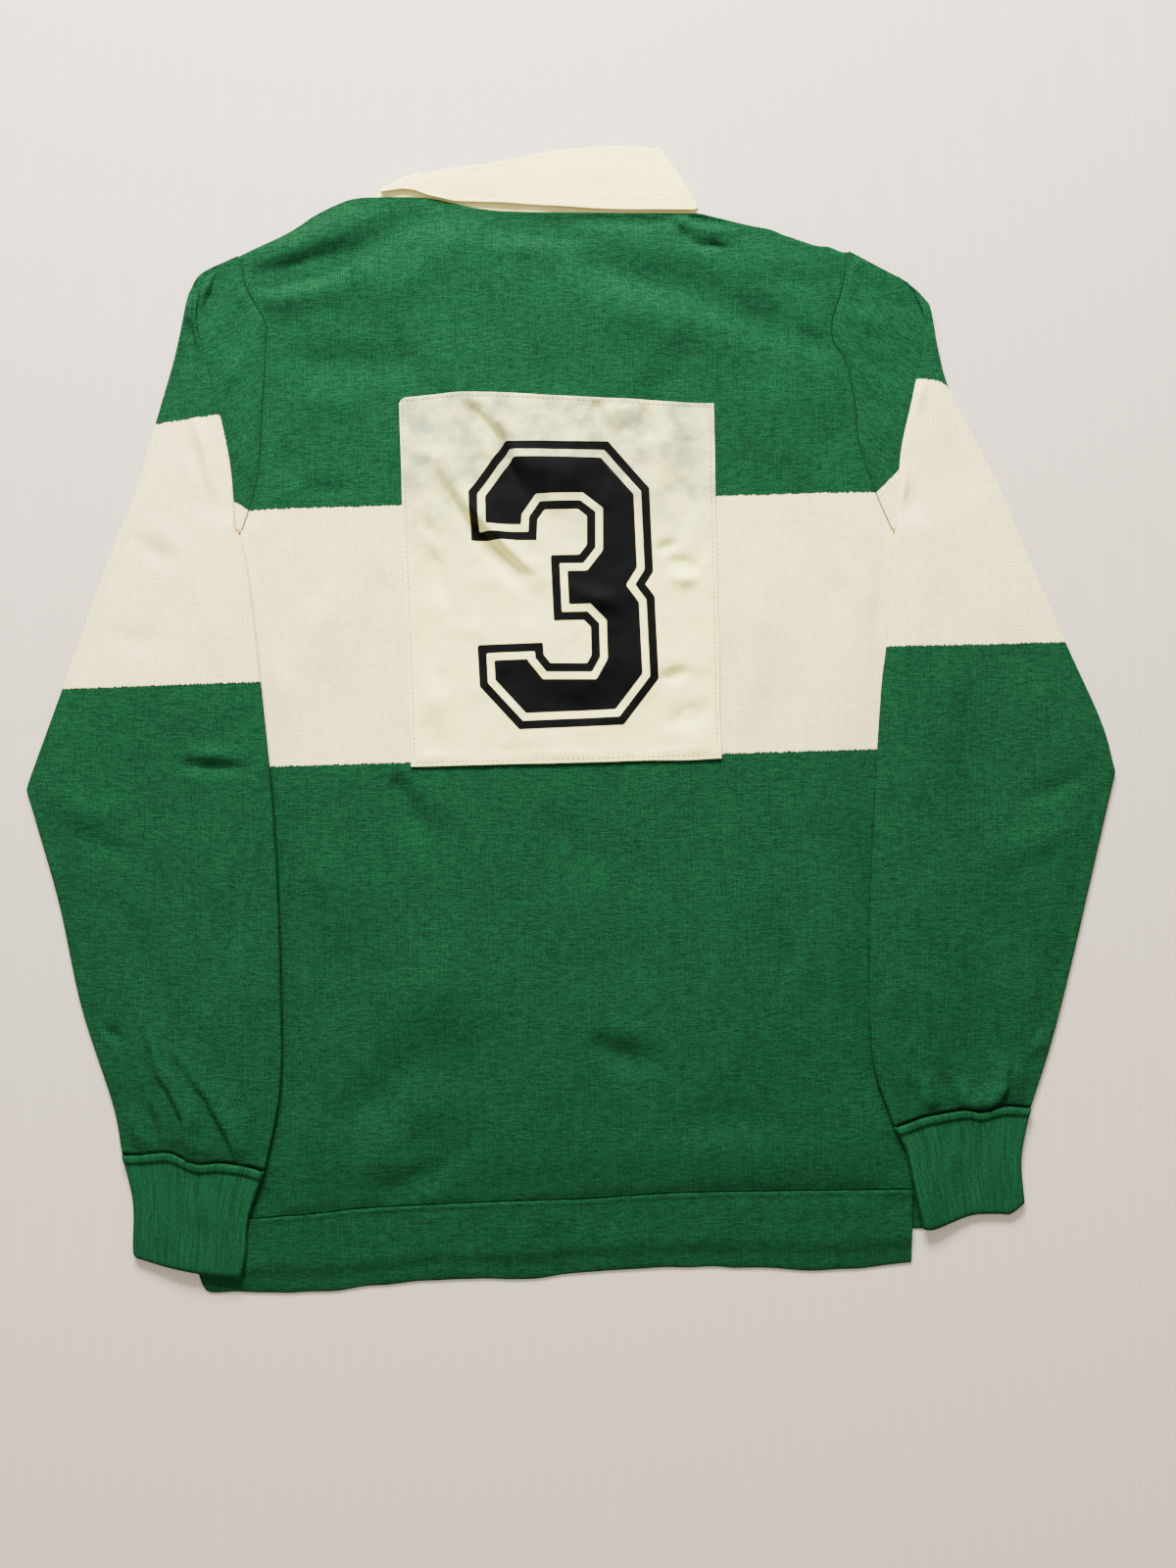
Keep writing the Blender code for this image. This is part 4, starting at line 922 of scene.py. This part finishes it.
def make_hem(name, x_left, x_right, raised, thickness, on_front):
    """A hem band below its seam. The back one comes down to the sheet past the front's."""
    share = np.linspace(0, 1, 170)
    depth = np.concatenate([[0, 0.012, 0.026, 0.045, 0.07], np.linspace(0.1, 0.94, 17),
                            [0.965, 0.985, 1]])[:, None]
    x_top = x_left[0] + (x_right[0] - x_left[0]) * share
    x_foot = x_left[1] + (x_right[1] - x_left[1]) * share
    x = x_top + (x_foot - x_top) * depth
    wave = hilly(HEM_HILLS, x_foot, 0 * x_foot)
    seam = y_at(HEM_SEAM, x_top) + raised - SEAM
    foot = y_at(HEM_EDGE, x_foot) + raised + wave * on_front
    y = seam + (foot - seam) * depth
    under = np.zeros_like(x)
    if on_front:
        under = BACK_UNDER * smooth((y - y_at(HEM_EDGE, x) - FRONT_SHORTER + 14) / 11)
    roll = thickness * 0.42 * rolled_off((y - foot) / 2.4)
    ease = smooth((seam - y) / 9) * smooth((y - foot) / 5)
    hills = (0.35 * cloudy(x, y, 24, 32) + 0.3 * cloudy(x, y * 0.5, 10, 33) + 0.45) * ease
    puckers = 0.35 * cloudy(x, y * 0.2, 7, 6) * np.exp(-((seam - y) / 6) ** 2)
    lip = 0.7 * np.exp(-((seam - y - 1.7) / 1.5) ** 2) + 0.9 * smooth((y - foot) / 20)
    z = under + thickness + (hills + puckers + lip) * on_front - roll
    cloth = Cloth()
    cloth.grid(np.stack([x, y, z], -1)[::-1], turned(x, y, TILT)[::-1])
    return cloth.build(name, knit, thickness * 0.95, bevel=0.4)


def body_inside(x, y):
    """How far a place is inside the body's side edges, less than 0 outside."""
    return np.minimum(x - x_at(SIDE_LEFT, y), x_at(SIDE_RIGHT, y) - x)


def support(x, y):
    """What a sleeve or cuff lies on: the sheet outside the body, the back panel inside."""
    slope = (body_inside(x, y) + SLOPE_END) / (SLOPE_END - SLOPE_START)
    return ON_BODY * smooth(slope) * smooth((138 - y) / 17)


SleeveRows = namedtuple("SleeveRows", "seam lip outer out width reach step heads shut low")


def sleeve_rows(sleeve, armhole):
    """Seam, lip and outer points of the rows of a sleeve from its head to its cuff, the way
    and the width from the lip to the outer edge, and how far each row has opened."""
    head = np.concatenate([[0, 0.004, 0.009, 0.016], np.linspace(0.03, 1, 56)])
    upper, lower = np.linspace(0, 1, 55)[1:], np.linspace(0, 1, 92)[1:]
    lip = np.vstack([along(sleeve.crease, head), along(sleeve.upper_inner, upper),
                     along(sleeve.lower_inner, lower)])
    outer = np.vstack([along(sleeve.cap_outer, head), along(sleeve.upper_outer, upper),
                       along(sleeve.lower_outer, lower)])
    width = np.hypot(*(outer - lip).T)[:, None]
    step = np.arange(len(lip))[:, None]
    shut = np.ones_like(width)
    shut[:5, 0] = 0, 0.55, 0.8, 0.95, 1
    return SleeveRows(along(armhole, head), lip, outer, (outer - lip) / width, width,
                      np.minimum(1, width / 15), step, len(head), shut,
                      shut * smooth((step - 3) / 10))


def sleeve_lift(x, y, rows, t):
    """How far the upper side stands above what it lies on, at t from the lip: the tube, the
    fold's own height near the lip, the air in it, its hills, creases and folds."""
    count, from_edge = len(rows.step), rows.width - t
    pleat = np.interp(rows.step, (0, 12, rows.heads - 8, rows.heads + 4, count - 40, count - 10),
                      (0.4, 1.5, 2.7, 1.3, 1.3, 0)) * (1 - smooth(t / 35))
    air = 2.0 * smooth(t / 26) * smooth(from_edge / 26) * np.minimum(1, rows.width / 60)
    last = smooth((count - 1 - rows.step) / 4) * 0.7 + 0.3
    hills = 2.8 * hilly(SLEEVE_HILLS, x, y) * smooth(t / 9) * smooth(from_edge / 9)
    folds = SLEEVE_CREASE_GAIN * creased(SLEEVE_CREASES, x, y) * last
    folds = (folds + hills) * smooth(t / 5) * smooth(from_edge / 5)
    overlaps = SLEEVE_FOLD_GAIN * folded(SLEEVE_FOLDS, x, y)
    folds = folds + overlaps * smooth(t / 3) * smooth(from_edge / 3)
    return TUBE + pleat + np.maximum(air * last + folds, -0.6)


def sleeve_top(rows, seam_bow):
    """Upper side of the tube: it starts under the lip, rolls round it, runs over to the outer
    edge and rolls round that. The height of a point is the middle between the upper and the
    lower level, plus half of their distance times the sine of the turn."""
    count = len(rows.step)
    angle = np.radians(np.linspace(-90, 90, 9))
    shares = np.linspace(0, 1, 62)[1:-1]
    t = np.hstack([TUCK * rows.reach,
                   np.broadcast_to(LIP_RADIUS * (1 - np.cos(angle)), (count, len(angle))),
                   LIP_RADIUS + (rows.width - LIP_RADIUS - OUTER_RADIUS) * shares,
                   rows.width - OUTER_RADIUS + OUTER_RADIUS * np.cos(angle[::-1])])
    turn = np.concatenate([-np.ones(len(TUCK)), np.sin(angle), np.ones(len(shares)),
                           np.sin(angle[::-1])])
    plan = rows.lip[:, None] + rows.out[:, None] * t[..., None]
    bow = smooth((rows.step - count + 22) / 20)
    plan[..., 1] += bow * y_at(seam_bow, t / rows.width)
    x, y = plan[..., 0], plan[..., 1]
    lie = support(x, y)
    upper = lie + sleeve_lift(x, y, rows, t)
    closing = smooth((rows.step - rows.heads + 1) / 9)
    under_lip = np.where(rows.step < rows.heads, UNDER_HEAD,
                         ON_BODY * closing + UNDER_HEAD * (1 - closing))
    near_lip = np.arange(t.shape[1]) < 40
    lower = np.where(near_lip, np.maximum(lie, under_lip), lie + KNIT)
    z = (upper + lower) / 2 + (upper - lower) / 2 * turn
    return np.stack([x, y, CLOSED_AT + (z - CLOSED_AT) * rows.low], -1)


def sleeve_underside(rows):
    """Lower side of the tube, from the outer edge straight back to the lip, or in the head
    to the armhole seam."""
    at_head = rows.step < rows.heads
    inner = np.where(at_head, np.vstack([rows.seam, rows.lip[rows.heads:]]),
                     rows.lip + rows.out * TUCK[0] * rows.reach)
    outer = rows.outer - rows.out * OUTER_RADIUS
    plan = inner[:, None] + (outer - inner)[:, None] * np.linspace(1, 0, 40)[:, None]
    z = np.where(at_head, 0, support(plan[..., 0], plan[..., 1])) + KNIT
    return np.dstack([plan, CLOSED_AT + (z - CLOSED_AT) * rows.low])


def sleeve_head(rows):
    """The strip from the armhole seam to under the lip. Over the first rows it reaches the
    outer edge. It rounds down to the seam, and dips a little at the lip."""
    shares = np.concatenate([[0, 0.008, 0.02, 0.04], np.linspace(0.07, 1, 48)])
    seam, lip, out, width, reach, step, shut = (
        part[:rows.heads] for part in (rows.seam, rows.lip, rows.out, rows.width, rows.reach,
                                       rows.step, rows.shut))
    covered = 1 - smooth((step - 7) / 7)
    under = LIP_COVER * reach
    to_lip = lip + out * (under + (width - under) * covered)
    away = to_lip - seam
    off_seam = seam + away / np.hypot(*away.T)[:, None] * 0.08
    plan = off_seam[:, None] + (to_lip - off_seam)[:, None] * shares[:, None]
    x, y = plan[..., 0], plan[..., 1]
    from_seam = np.hypot(x - seam[:, :1], y - seam[:, 1:])
    to_crease = np.hypot(x - lip[:, :1], y - lip[:, 1:])
    bulge = SLEEVE_CREASE_GAIN * creased(CAP_CREASES, x, y) + 0.2 * cloudy(x, y, 14, 44) + 0.5
    bulge = bulge * (smooth(from_seam / 5) * smooth(to_crease / 5))
    z = BACK_TOP + 0.25 * smooth(from_seam / 8) + np.maximum(bulge, -1.2)
    z -= rolled_off(from_seam / 1.8)
    z -= 0.4 * np.exp(-(to_crease / 2.2) ** 2) * (1 - covered) * smooth(from_seam / 9)
    return np.stack([x, y, STRIP_CLOSED_AT + (z - STRIP_CLOSED_AT) * shut], -1)


def make_sleeve(name, sleeve, armhole, band, cap_band, lean, flip):
    """A flat sleeve that is folded down over its own head.

    The head is a strip from the armhole seam to under the lip. The tube is a ring at each
    row: it starts under the lip, rolls round it, runs over the top to the outer edge, rolls
    round that and comes back underneath, in the head as far as the armhole seam.
    """
    rows = sleeve_rows(sleeve, armhole)
    ring = np.concatenate([sleeve_top(rows, sleeve.seam_bow), sleeve_underside(rows)], axis=1)
    x, y = ring[..., 0], ring[..., 1]
    cloth = Cloth()
    tube = cloth.grid(ring, turned(x, y, lean), band_distance(band, x, y), flip=flip)
    cloth.strip(tube[rows.heads:, -1], tube[rows.heads:, 0], flip=flip)
    head = sleeve_head(rows)
    x, y = head[..., 0], head[..., 1]
    head_lean = math.radians(-30 if flip else 30)
    cloth.grid(head, turned(x, y, head_lean), level(cap_band, x) - y, flip=flip)
    return cloth.build(name, knit, SLEEVE_CLOTH)


def make_cuff(name, cuff, flip):
    """A flat ribbed cuff: rings from the seam to the foot, with a raised welt at the seam
    and a fine rib all round. A ring rolls round the inner edge, runs over the top to the
    outer edge, rolls round that and comes back underneath."""
    depth = np.concatenate([[0.4, 0.8, 1.6], np.linspace(2.4, WELT_DEPTH - 0.8, 4),
                            [WELT_DEPTH, WELT_DEPTH + 0.6, WELT_DEPTH + 1.4],
                            np.linspace(10, CUFF_LENGTH - 3, 24),
                            [CUFF_LENGTH - 1.6, CUFF_LENGTH - 0.6, CUFF_LENGTH]])[:, None]
    raised = np.interp(depth, (0, 0.5, 1.6, WELT_DEPTH - 1.2, WELT_DEPTH + 0.6, CUFF_LENGTH),
                       (0.1, 0.5, 1, 1, 0, 0))
    share = depth / CUFF_LENGTH
    inner, outer = along(cuff.inner, share[:, 0]), along(cuff.outer, share[:, 0])
    width = np.hypot(*(outer - inner).T)[:, None]
    out = (outer - inner) / width
    radius = CUFF_TUBE / 2
    angle = np.radians(np.linspace(-90, 90, 10))
    places = np.linspace(0, 1, 232)[1:-1]
    level_part = radius + (width - 2 * radius) * places
    t = np.hstack([np.broadcast_to(radius * (1 - np.cos(angle)), (len(depth), len(angle))),
                   level_part, width - radius + radius * np.cos(angle[::-1]),
                   level_part[:, ::-1]])
    turn = np.concatenate([np.sin(angle), np.ones(len(places)), np.sin(angle[::-1]),
                           -np.ones(len(places))])
    flat, bend = width[0, 0] - 2 * radius, radius * math.pi
    rolled = (angle + math.pi / 2) * radius
    run = np.concatenate([rolled, bend + flat * places, bend + flat + rolled,
                          2 * bend + flat * (1 + places)])
    plan = inner[:, None] + out[:, None] * t[..., None]
    part = t / width
    plan[..., 1] += (1 - share) * y_at(cuff.seam_bow, part) + share * y_at(cuff.foot_bow, part)
    x, y = plan[..., 0], plan[..., 1]
    foot = 1 - 0.55 * (1 - smooth((CUFF_LENGTH - depth) / 2.2))
    rib = (0.11 + 0.25 * raised) * np.cos(run * 2 * math.pi / RIB) * smooth(depth / 2)
    waves = 0.55 * cloudy(x * 1.4, y * 0.5, 13, 51) * (1 - share) + 0.3 * cloudy(x, y, 21, 52)
    waves = waves * smooth(part / 0.1) * smooth((1 - part) / 0.1)
    half = (CUFF_TUBE + raised * WELT * 1.5 + 0.4 + waves) / 2
    z = support(x, y) + SEAM + half + (half + rib) * turn * foot
    cloth = Cloth()
    uv = np.stack([np.broadcast_to(run, x.shape), np.broadcast_to(-depth, x.shape)], -1)
    cloth.grid(np.stack([x, y, z], -1), uv, flip=flip, ring=True)
    return cloth.build(name, rib_green, CUFF_CLOTH)


def by_height(points):
    """Heights and places of a table of x, y, ready to be interpolated."""
    points = np.array(sorted(points, key=lambda point: point[1]))
    return points[:, 1], points[:, 0]


def collar_section(neck, fold, edge, over):
    """Middle of the folded band: distance from the level of the neck, and height. It goes
    up the stand, round the fold and down the fall. Where the collar lies over the back, over
    is 1, the fall bellies out, its edge stands off and the stand sinks in."""
    bend = (FALL_RADIUS - STAND_RADIUS) / 2
    centre = fold - WOVEN / 2 - bend
    turn = np.radians(np.linspace(0, 180, 11)[1:-1])
    fall = np.linspace(0, 1, 26)
    belly = (0.5 * np.sin(fall * math.pi) ** 2 + 1.1 * fall ** 3) * over
    stand = STAND_RADIUS - 0.6 * smooth(np.linspace(1.6, 0, 9)) * over
    radius = np.concatenate([stand, STAND_RADIUS + bend - bend * np.cos(turn),
                             FALL_RADIUS + belly])
    height = np.concatenate([np.linspace(neck, centre, 9), centre + bend * np.sin(turn),
                             centre + (edge - centre) * fall])
    return radius, height


def collar_row(share, turn, neck, table, near_end, far_end, out):
    """One section of the collar, at a share of the way between two of its ends."""
    fold, edge = (np.interp(share, *np.array(table).T[[0, k]]) for k in (1, 2))
    over = max(0, math.cos(turn))
    radius, height = collar_section(neck, fold, edge, over)
    near = np.interp(height, *by_height(near_end))
    far = np.interp(height, *by_height(far_end))
    x = near + (far - near) * share
    wave = hilly(COLLAR_HILLS, x, height) * (np.arange(len(radius)) > 24) * over
    reach = radius * math.sin(turn)
    return np.stack([x + out[0] * reach, height + out[1] * reach,
                     NECK_LEVEL + radius * math.cos(turn) + np.maximum(wave, -0.3)], axis=-1)


def collar_leaf(table, end, edge, out):
    """Rows of a front leaf, from the collar's slanted end to its front edge."""
    rows = []
    for share in np.linspace(0, 1, 50)[1:]:
        x = end[0][0] + (edge[1][0] - end[0][0]) * share
        neck = y_at(NECK_FRONT, x) + SEAM
        rows.append(collar_row(share, math.pi, neck, table, end, edge, out))
    return rows


def collar_bend(share, neck, out):
    """Rows round a slanted end, from the collar's back to its front."""
    return [collar_row(share, turn, neck, COLLAR_BACK, COLLAR_END_LEFT, COLLAR_END_RIGHT, out)
            for turn in np.linspace(0, 1, 13) * math.pi]


def make_collar():
    """The collar from one front edge round the back to the other front edge."""
    left, right = COLLAR_END_LEFT[0], COLLAR_END_RIGHT[0]
    rows = collar_leaf(COLLAR_FRONT_LEFT, COLLAR_END_LEFT, LEAF_EDGE_LEFT, OUT_LEFT)[::-1]
    rows += collar_bend(0, left[1], OUT_LEFT)[::-1]
    for share in np.linspace(0, 1, 92)[1:-1]:
        neck = top_line(NECK_BACK, left[0] + (right[0] - left[0]) * share) + SEAM
        rows.append(collar_row(share, 0, neck, COLLAR_BACK, COLLAR_END_LEFT,
                               COLLAR_END_RIGHT, OUT_LEFT))
    rows += collar_bend(1, right[1], OUT_RIGHT)
    rows += collar_leaf(COLLAR_FRONT_RIGHT, COLLAR_END_RIGHT, LEAF_EDGE_RIGHT, OUT_RIGHT)
    rows = np.array(rows)
    along_row = np.cumsum(np.hypot(*np.diff(rows[:, :, :2], axis=0, prepend=rows[:1, :, :2])
                                   .transpose(2, 0, 1)), axis=0)
    down = np.cumsum(np.linalg.norm(np.diff(rows, axis=1, prepend=rows[:, :1]), axis=2), axis=1)
    cloth = Cloth()
    cloth.grid(rows, np.stack([along_row, down], -1))
    return cloth.build("collar_cloth", twill, WOVEN, middle=True, bevel=0.35), rows


def sewn_line(name, path, finish, pitch=2.8, length=2.0, width=0.42, height=0.22):
    """A row of stitches along a path: each is a small dome, long along the path."""
    path = np.asarray(path, float)
    run = np.concatenate([[0], np.cumsum(np.linalg.norm(np.diff(path, axis=0), axis=1))])
    middles = np.arange(pitch / 2, run[-1], pitch)
    middle, ahead, behind = (
        np.stack([np.interp(middles + step, run, path[:, k]) for k in range(3)], -1)
        for step in (0, 0.4, -0.4))
    way = ahead - behind
    way /= np.linalg.norm(way, axis=1)[:, None]
    aside = np.stack([-way[:, 1], way[:, 0], 0 * way[:, 0]], -1)
    rings, sides = 7, 6
    shares = np.linspace(-1, 1, rings)
    round_off = np.sqrt(np.maximum(1 - shares ** 4, 0.02))
    turn = np.linspace(0, 2 * math.pi, sides + 1)[:-1]
    ring = np.stack([np.broadcast_to(shares[:, None] * length / 2, (rings, sides)),
                     round_off[:, None] * np.cos(turn) * width / 2,
                     round_off[:, None] * np.sin(turn) * height], -1)
    points = middle[:, None, None] + ring[None, ..., :1] * way[:, None, None] \
        + ring[None, ..., 1:2] * aside[:, None, None] \
        + ring[None, ..., 2:] * np.array([0, 0, 1.0])
    cell = np.arange(rings * sides).reshape(rings, sides)
    quads = net(np.hstack([cell, cell[:, :1]])).reshape(-1, 4)
    stitch = [*quads.tolist(), cell[0, ::-1].tolist(), cell[-1].tolist()]
    faces = [[v + cell.size * k for v in face] for k in range(len(points)) for face in stitch]
    points = points.reshape(-1, 3)
    return add_mesh(name, points, faces, points[:, :2], finish)


def patch_seam():
    """Path of the topstitching, a little inside the patch's edge."""
    inset, corner = 2.4, 2.5
    (left_top, left_foot), (right_top, right_foot) = (
        [straight(side, side[0][1] - corner) + inwards,
         straight(side, side[1][1] + corner) + inwards]
        for side, inwards in ((PATCH_LEFT, inset), (PATCH_RIGHT, -inset)))
    foot_x, top_x = np.linspace(left_foot, right_foot, 90), np.linspace(right_top, left_top, 90)
    foot = np.stack([foot_x, y_at(PATCH_FOOT, foot_x) + inset], -1)
    top = np.stack([top_x, y_at(PATCH_TOP, top_x) - inset], -1)
    up_y = np.linspace(foot[-1, 1], top[0, 1], 90)
    up = np.stack([straight(PATCH_RIGHT, up_y) - inset, up_y], -1)
    down_y = np.linspace(top[-1, 1], foot[0, 1], 90)
    down = np.stack([straight(PATCH_LEFT, down_y) + inset, down_y], -1)
    plan = np.vstack([foot, up[1:], top[1:], down[1:]])
    return np.column_stack([plan, patch_height(*plan.T) + 0.02])


def collar_seam(rows):
    """Path of the stitching above the lower edge of the collar's fall, over the back."""
    fall = rows[:, -5]
    return fall[fall[:, 2] > NECK_LEVEL + 1.5] + (0, 0, WOVEN / 2)


def seam_stitches(name, armhole):
    """The dark line of sewing where a sleeve head joins the back."""
    plan = along(armhole, np.linspace(0.01, 0.99, 260))
    path = np.column_stack([plan, np.full(len(plan), BACK_TOP + 0.12)])
    return sewn_line(name, path, green_thread, pitch=1.5, length=1.6, width=0.8, height=0.3)


knit = knit_finish("heathered jersey knit")
rib_green = rib_finish("green rib knit")
twill = twill_finish("ivory collar twill", (1.0, 0.87, 0.34), (0.95, 0.80, 0.29))
printed = twill_finish("cream patch twill with numeral", (0.98, 0.92, 0.33),
                       (0.88, 0.81, 0.28), (0.23, 0.26, 0.16))
cream_thread = thread_finish("cream thread", (0.80, 0.68, 0.34))
patch_thread = thread_finish("patch thread", (0.26, 0.19, 0.12))
green_thread = thread_finish("green thread", (0.004, 0.030, 0.011))

body_back = make_back()
body_front, slit_foot = make_front()
placket_strip = make_placket(slit_foot)
number_patch_cloth = make_patch()
hem_back = make_hem("hem_back_cloth", (-235, -238), (218, 218), 0, BAND, True)
hem_front = make_hem("hem_front_cloth", (-235, -237), (218, 226), FRONT_SHORTER, KNIT, False)
sleeve_left = make_sleeve("sleeve_left_cloth", SLEEVE_LEFT, ARMHOLE_LEFT, BAND_LEFT,
                          CAP_BAND_LEFT, -0.03, False)
sleeve_right = make_sleeve("sleeve_right_cloth", SLEEVE_RIGHT, ARMHOLE_RIGHT, BAND_RIGHT,
                           CAP_BAND_RIGHT, TILT, True)
cuff_left = make_cuff("cuff_left_rib", CUFF_LEFT, False)
cuff_right = make_cuff("cuff_right_rib", CUFF_RIGHT, True)
collar_cloth, collar_rows = make_collar()
patch_stitches = sewn_line("patch_stitches", patch_seam(), patch_thread, 3.2, 2.0, 0.7, 0.26)
collar_stitches = sewn_line("collar_stitches", collar_seam(collar_rows), cream_thread)

armhole_left = seam_stitches("armhole_stitches_left", ARMHOLE_LEFT)
armhole_right = seam_stitches("armhole_stitches_right", ARMHOLE_RIGHT)

Sewn = namedtuple("Sewn", "piece node slot flat area rests_on with_pieces")
for sewn in (
        Sewn(body_back, "back_panel", "body_knit", (0.456, 0.652), 0.268, ["body_front"], []),
        Sewn(body_front, "front_panel", "body_knit", (0.456, 0.63), 0.244, [], []),
        Sewn(placket_strip, "placket", "collar_twill", (0.030, 0.151), None, [], []),
        Sewn(number_patch_cloth, "number_patch", "patch_twill", (0.202, 0.236), 0.0464,
             ["body_back"], [patch_stitches]),
        Sewn(hem_back, "hem_band_back", "band_knit", (0.456, 0.049), None,
             ["hem_front_cloth"], []),
        Sewn(hem_front, "hem_band_front", "band_knit", (0.456, 0.049), None, [], []),
        Sewn(sleeve_left, "sleeve_left", "sleeve_knit", (0.30, 0.60), 0.124,
             ["body_back"], [armhole_left]),
        Sewn(sleeve_right, "sleeve_right", "sleeve_knit", (0.30, 0.58), 0.119,
             ["body_back"], [armhole_right]),
        Sewn(cuff_left, "cuff_left", "rib_knit", (0.165, 0.069), None, ["body_back"], []),
        Sewn(cuff_right, "cuff_right", "rib_knit", (0.150, 0.069), None, ["body_back"], []),
        Sewn(collar_cloth, "collar", "collar_twill", (0.47, 0.075), 0.0275, ["body_front"],
             [collar_stitches])):
    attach(sewn.piece, "root")
    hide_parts(sewn.node)
    for extra in sewn.with_pieces:
        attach(extra, "root")


def sheet_finish():
    """The pale ribbed sheet under the jersey."""
    m = Finish("pale sheet", 0.5, specular=0.3)
    place = m.node("TexCoord", None, None, "Object")
    x = m.node("SeparateXYZ", None, {0: place}, "X") * 1000
    ribs = (x / 3.2).zigzag().ramp(0.1, 0.9)
    # Painted shade: the sheet is a little darker in the valleys between its ribs.
    return m.done(m.shade(m.plain(SHEET), ribs * 0.07 + 0.95), ribs, 0.12, 0.6)


def floor():
    """A square of plain sheet around the jersey."""
    mesh = bpy.data.meshes.new("sheet_floor")
    side, low = 2.5, -0.0002
    mesh.from_pydata([(-side, -side, low), (side, -side, low), (side, side, low),
                      (-side, side, low)], [], [(0, 1, 2, 3)])
    mesh.materials.append(sheet_finish())
    obj = add_object("sheet_floor", mesh)


def lamp(name, place, aim, size, power, colour):
    """A soft rectangular light that points at a place."""
    light = bpy.data.lights.new(name, "AREA")
    light.shape = "RECTANGLE"
    light.size, light.size_y = size
    light.energy = power
    light.color = colour
    obj = add_object(name, light)
    obj.location = place
    way = np.array(aim, float) - np.array(place, float)
    yaw = math.atan2(-way[0], way[1])
    pitch = math.atan2(math.hypot(way[0], way[1]), -way[2])
    obj.rotation_euler = (pitch, 0, yaw)


floor()
lamp("window", (-0.2, 1.42, 0.95), (0, 0, 0), (0.8, 0.5), 165, (1.0, 1.0, 1.0))
lamp("ceiling", (-0.2, 0.3, 2.4), (0, 0, 0), (2.4, 2.4), 18, (1.0, 1.0, 1.0))
world = bpy.data.worlds.new("room")
bpy.context.scene.world = world
world.use_nodes = True
background = world.node_tree.nodes["Background"].inputs
background["Color"].default_value = (1.0, 1.0, 1.0, 1)
background["Strength"].default_value = 0.75

camera = bpy.data.cameras.new("above")
camera.lens = 36
camera.sensor_width = 36
camera.clip_start = 0.05
above = add_object("above", camera)
above.location = (0.0114, -0.0399, 1.003)
bpy.context.scene.camera = above
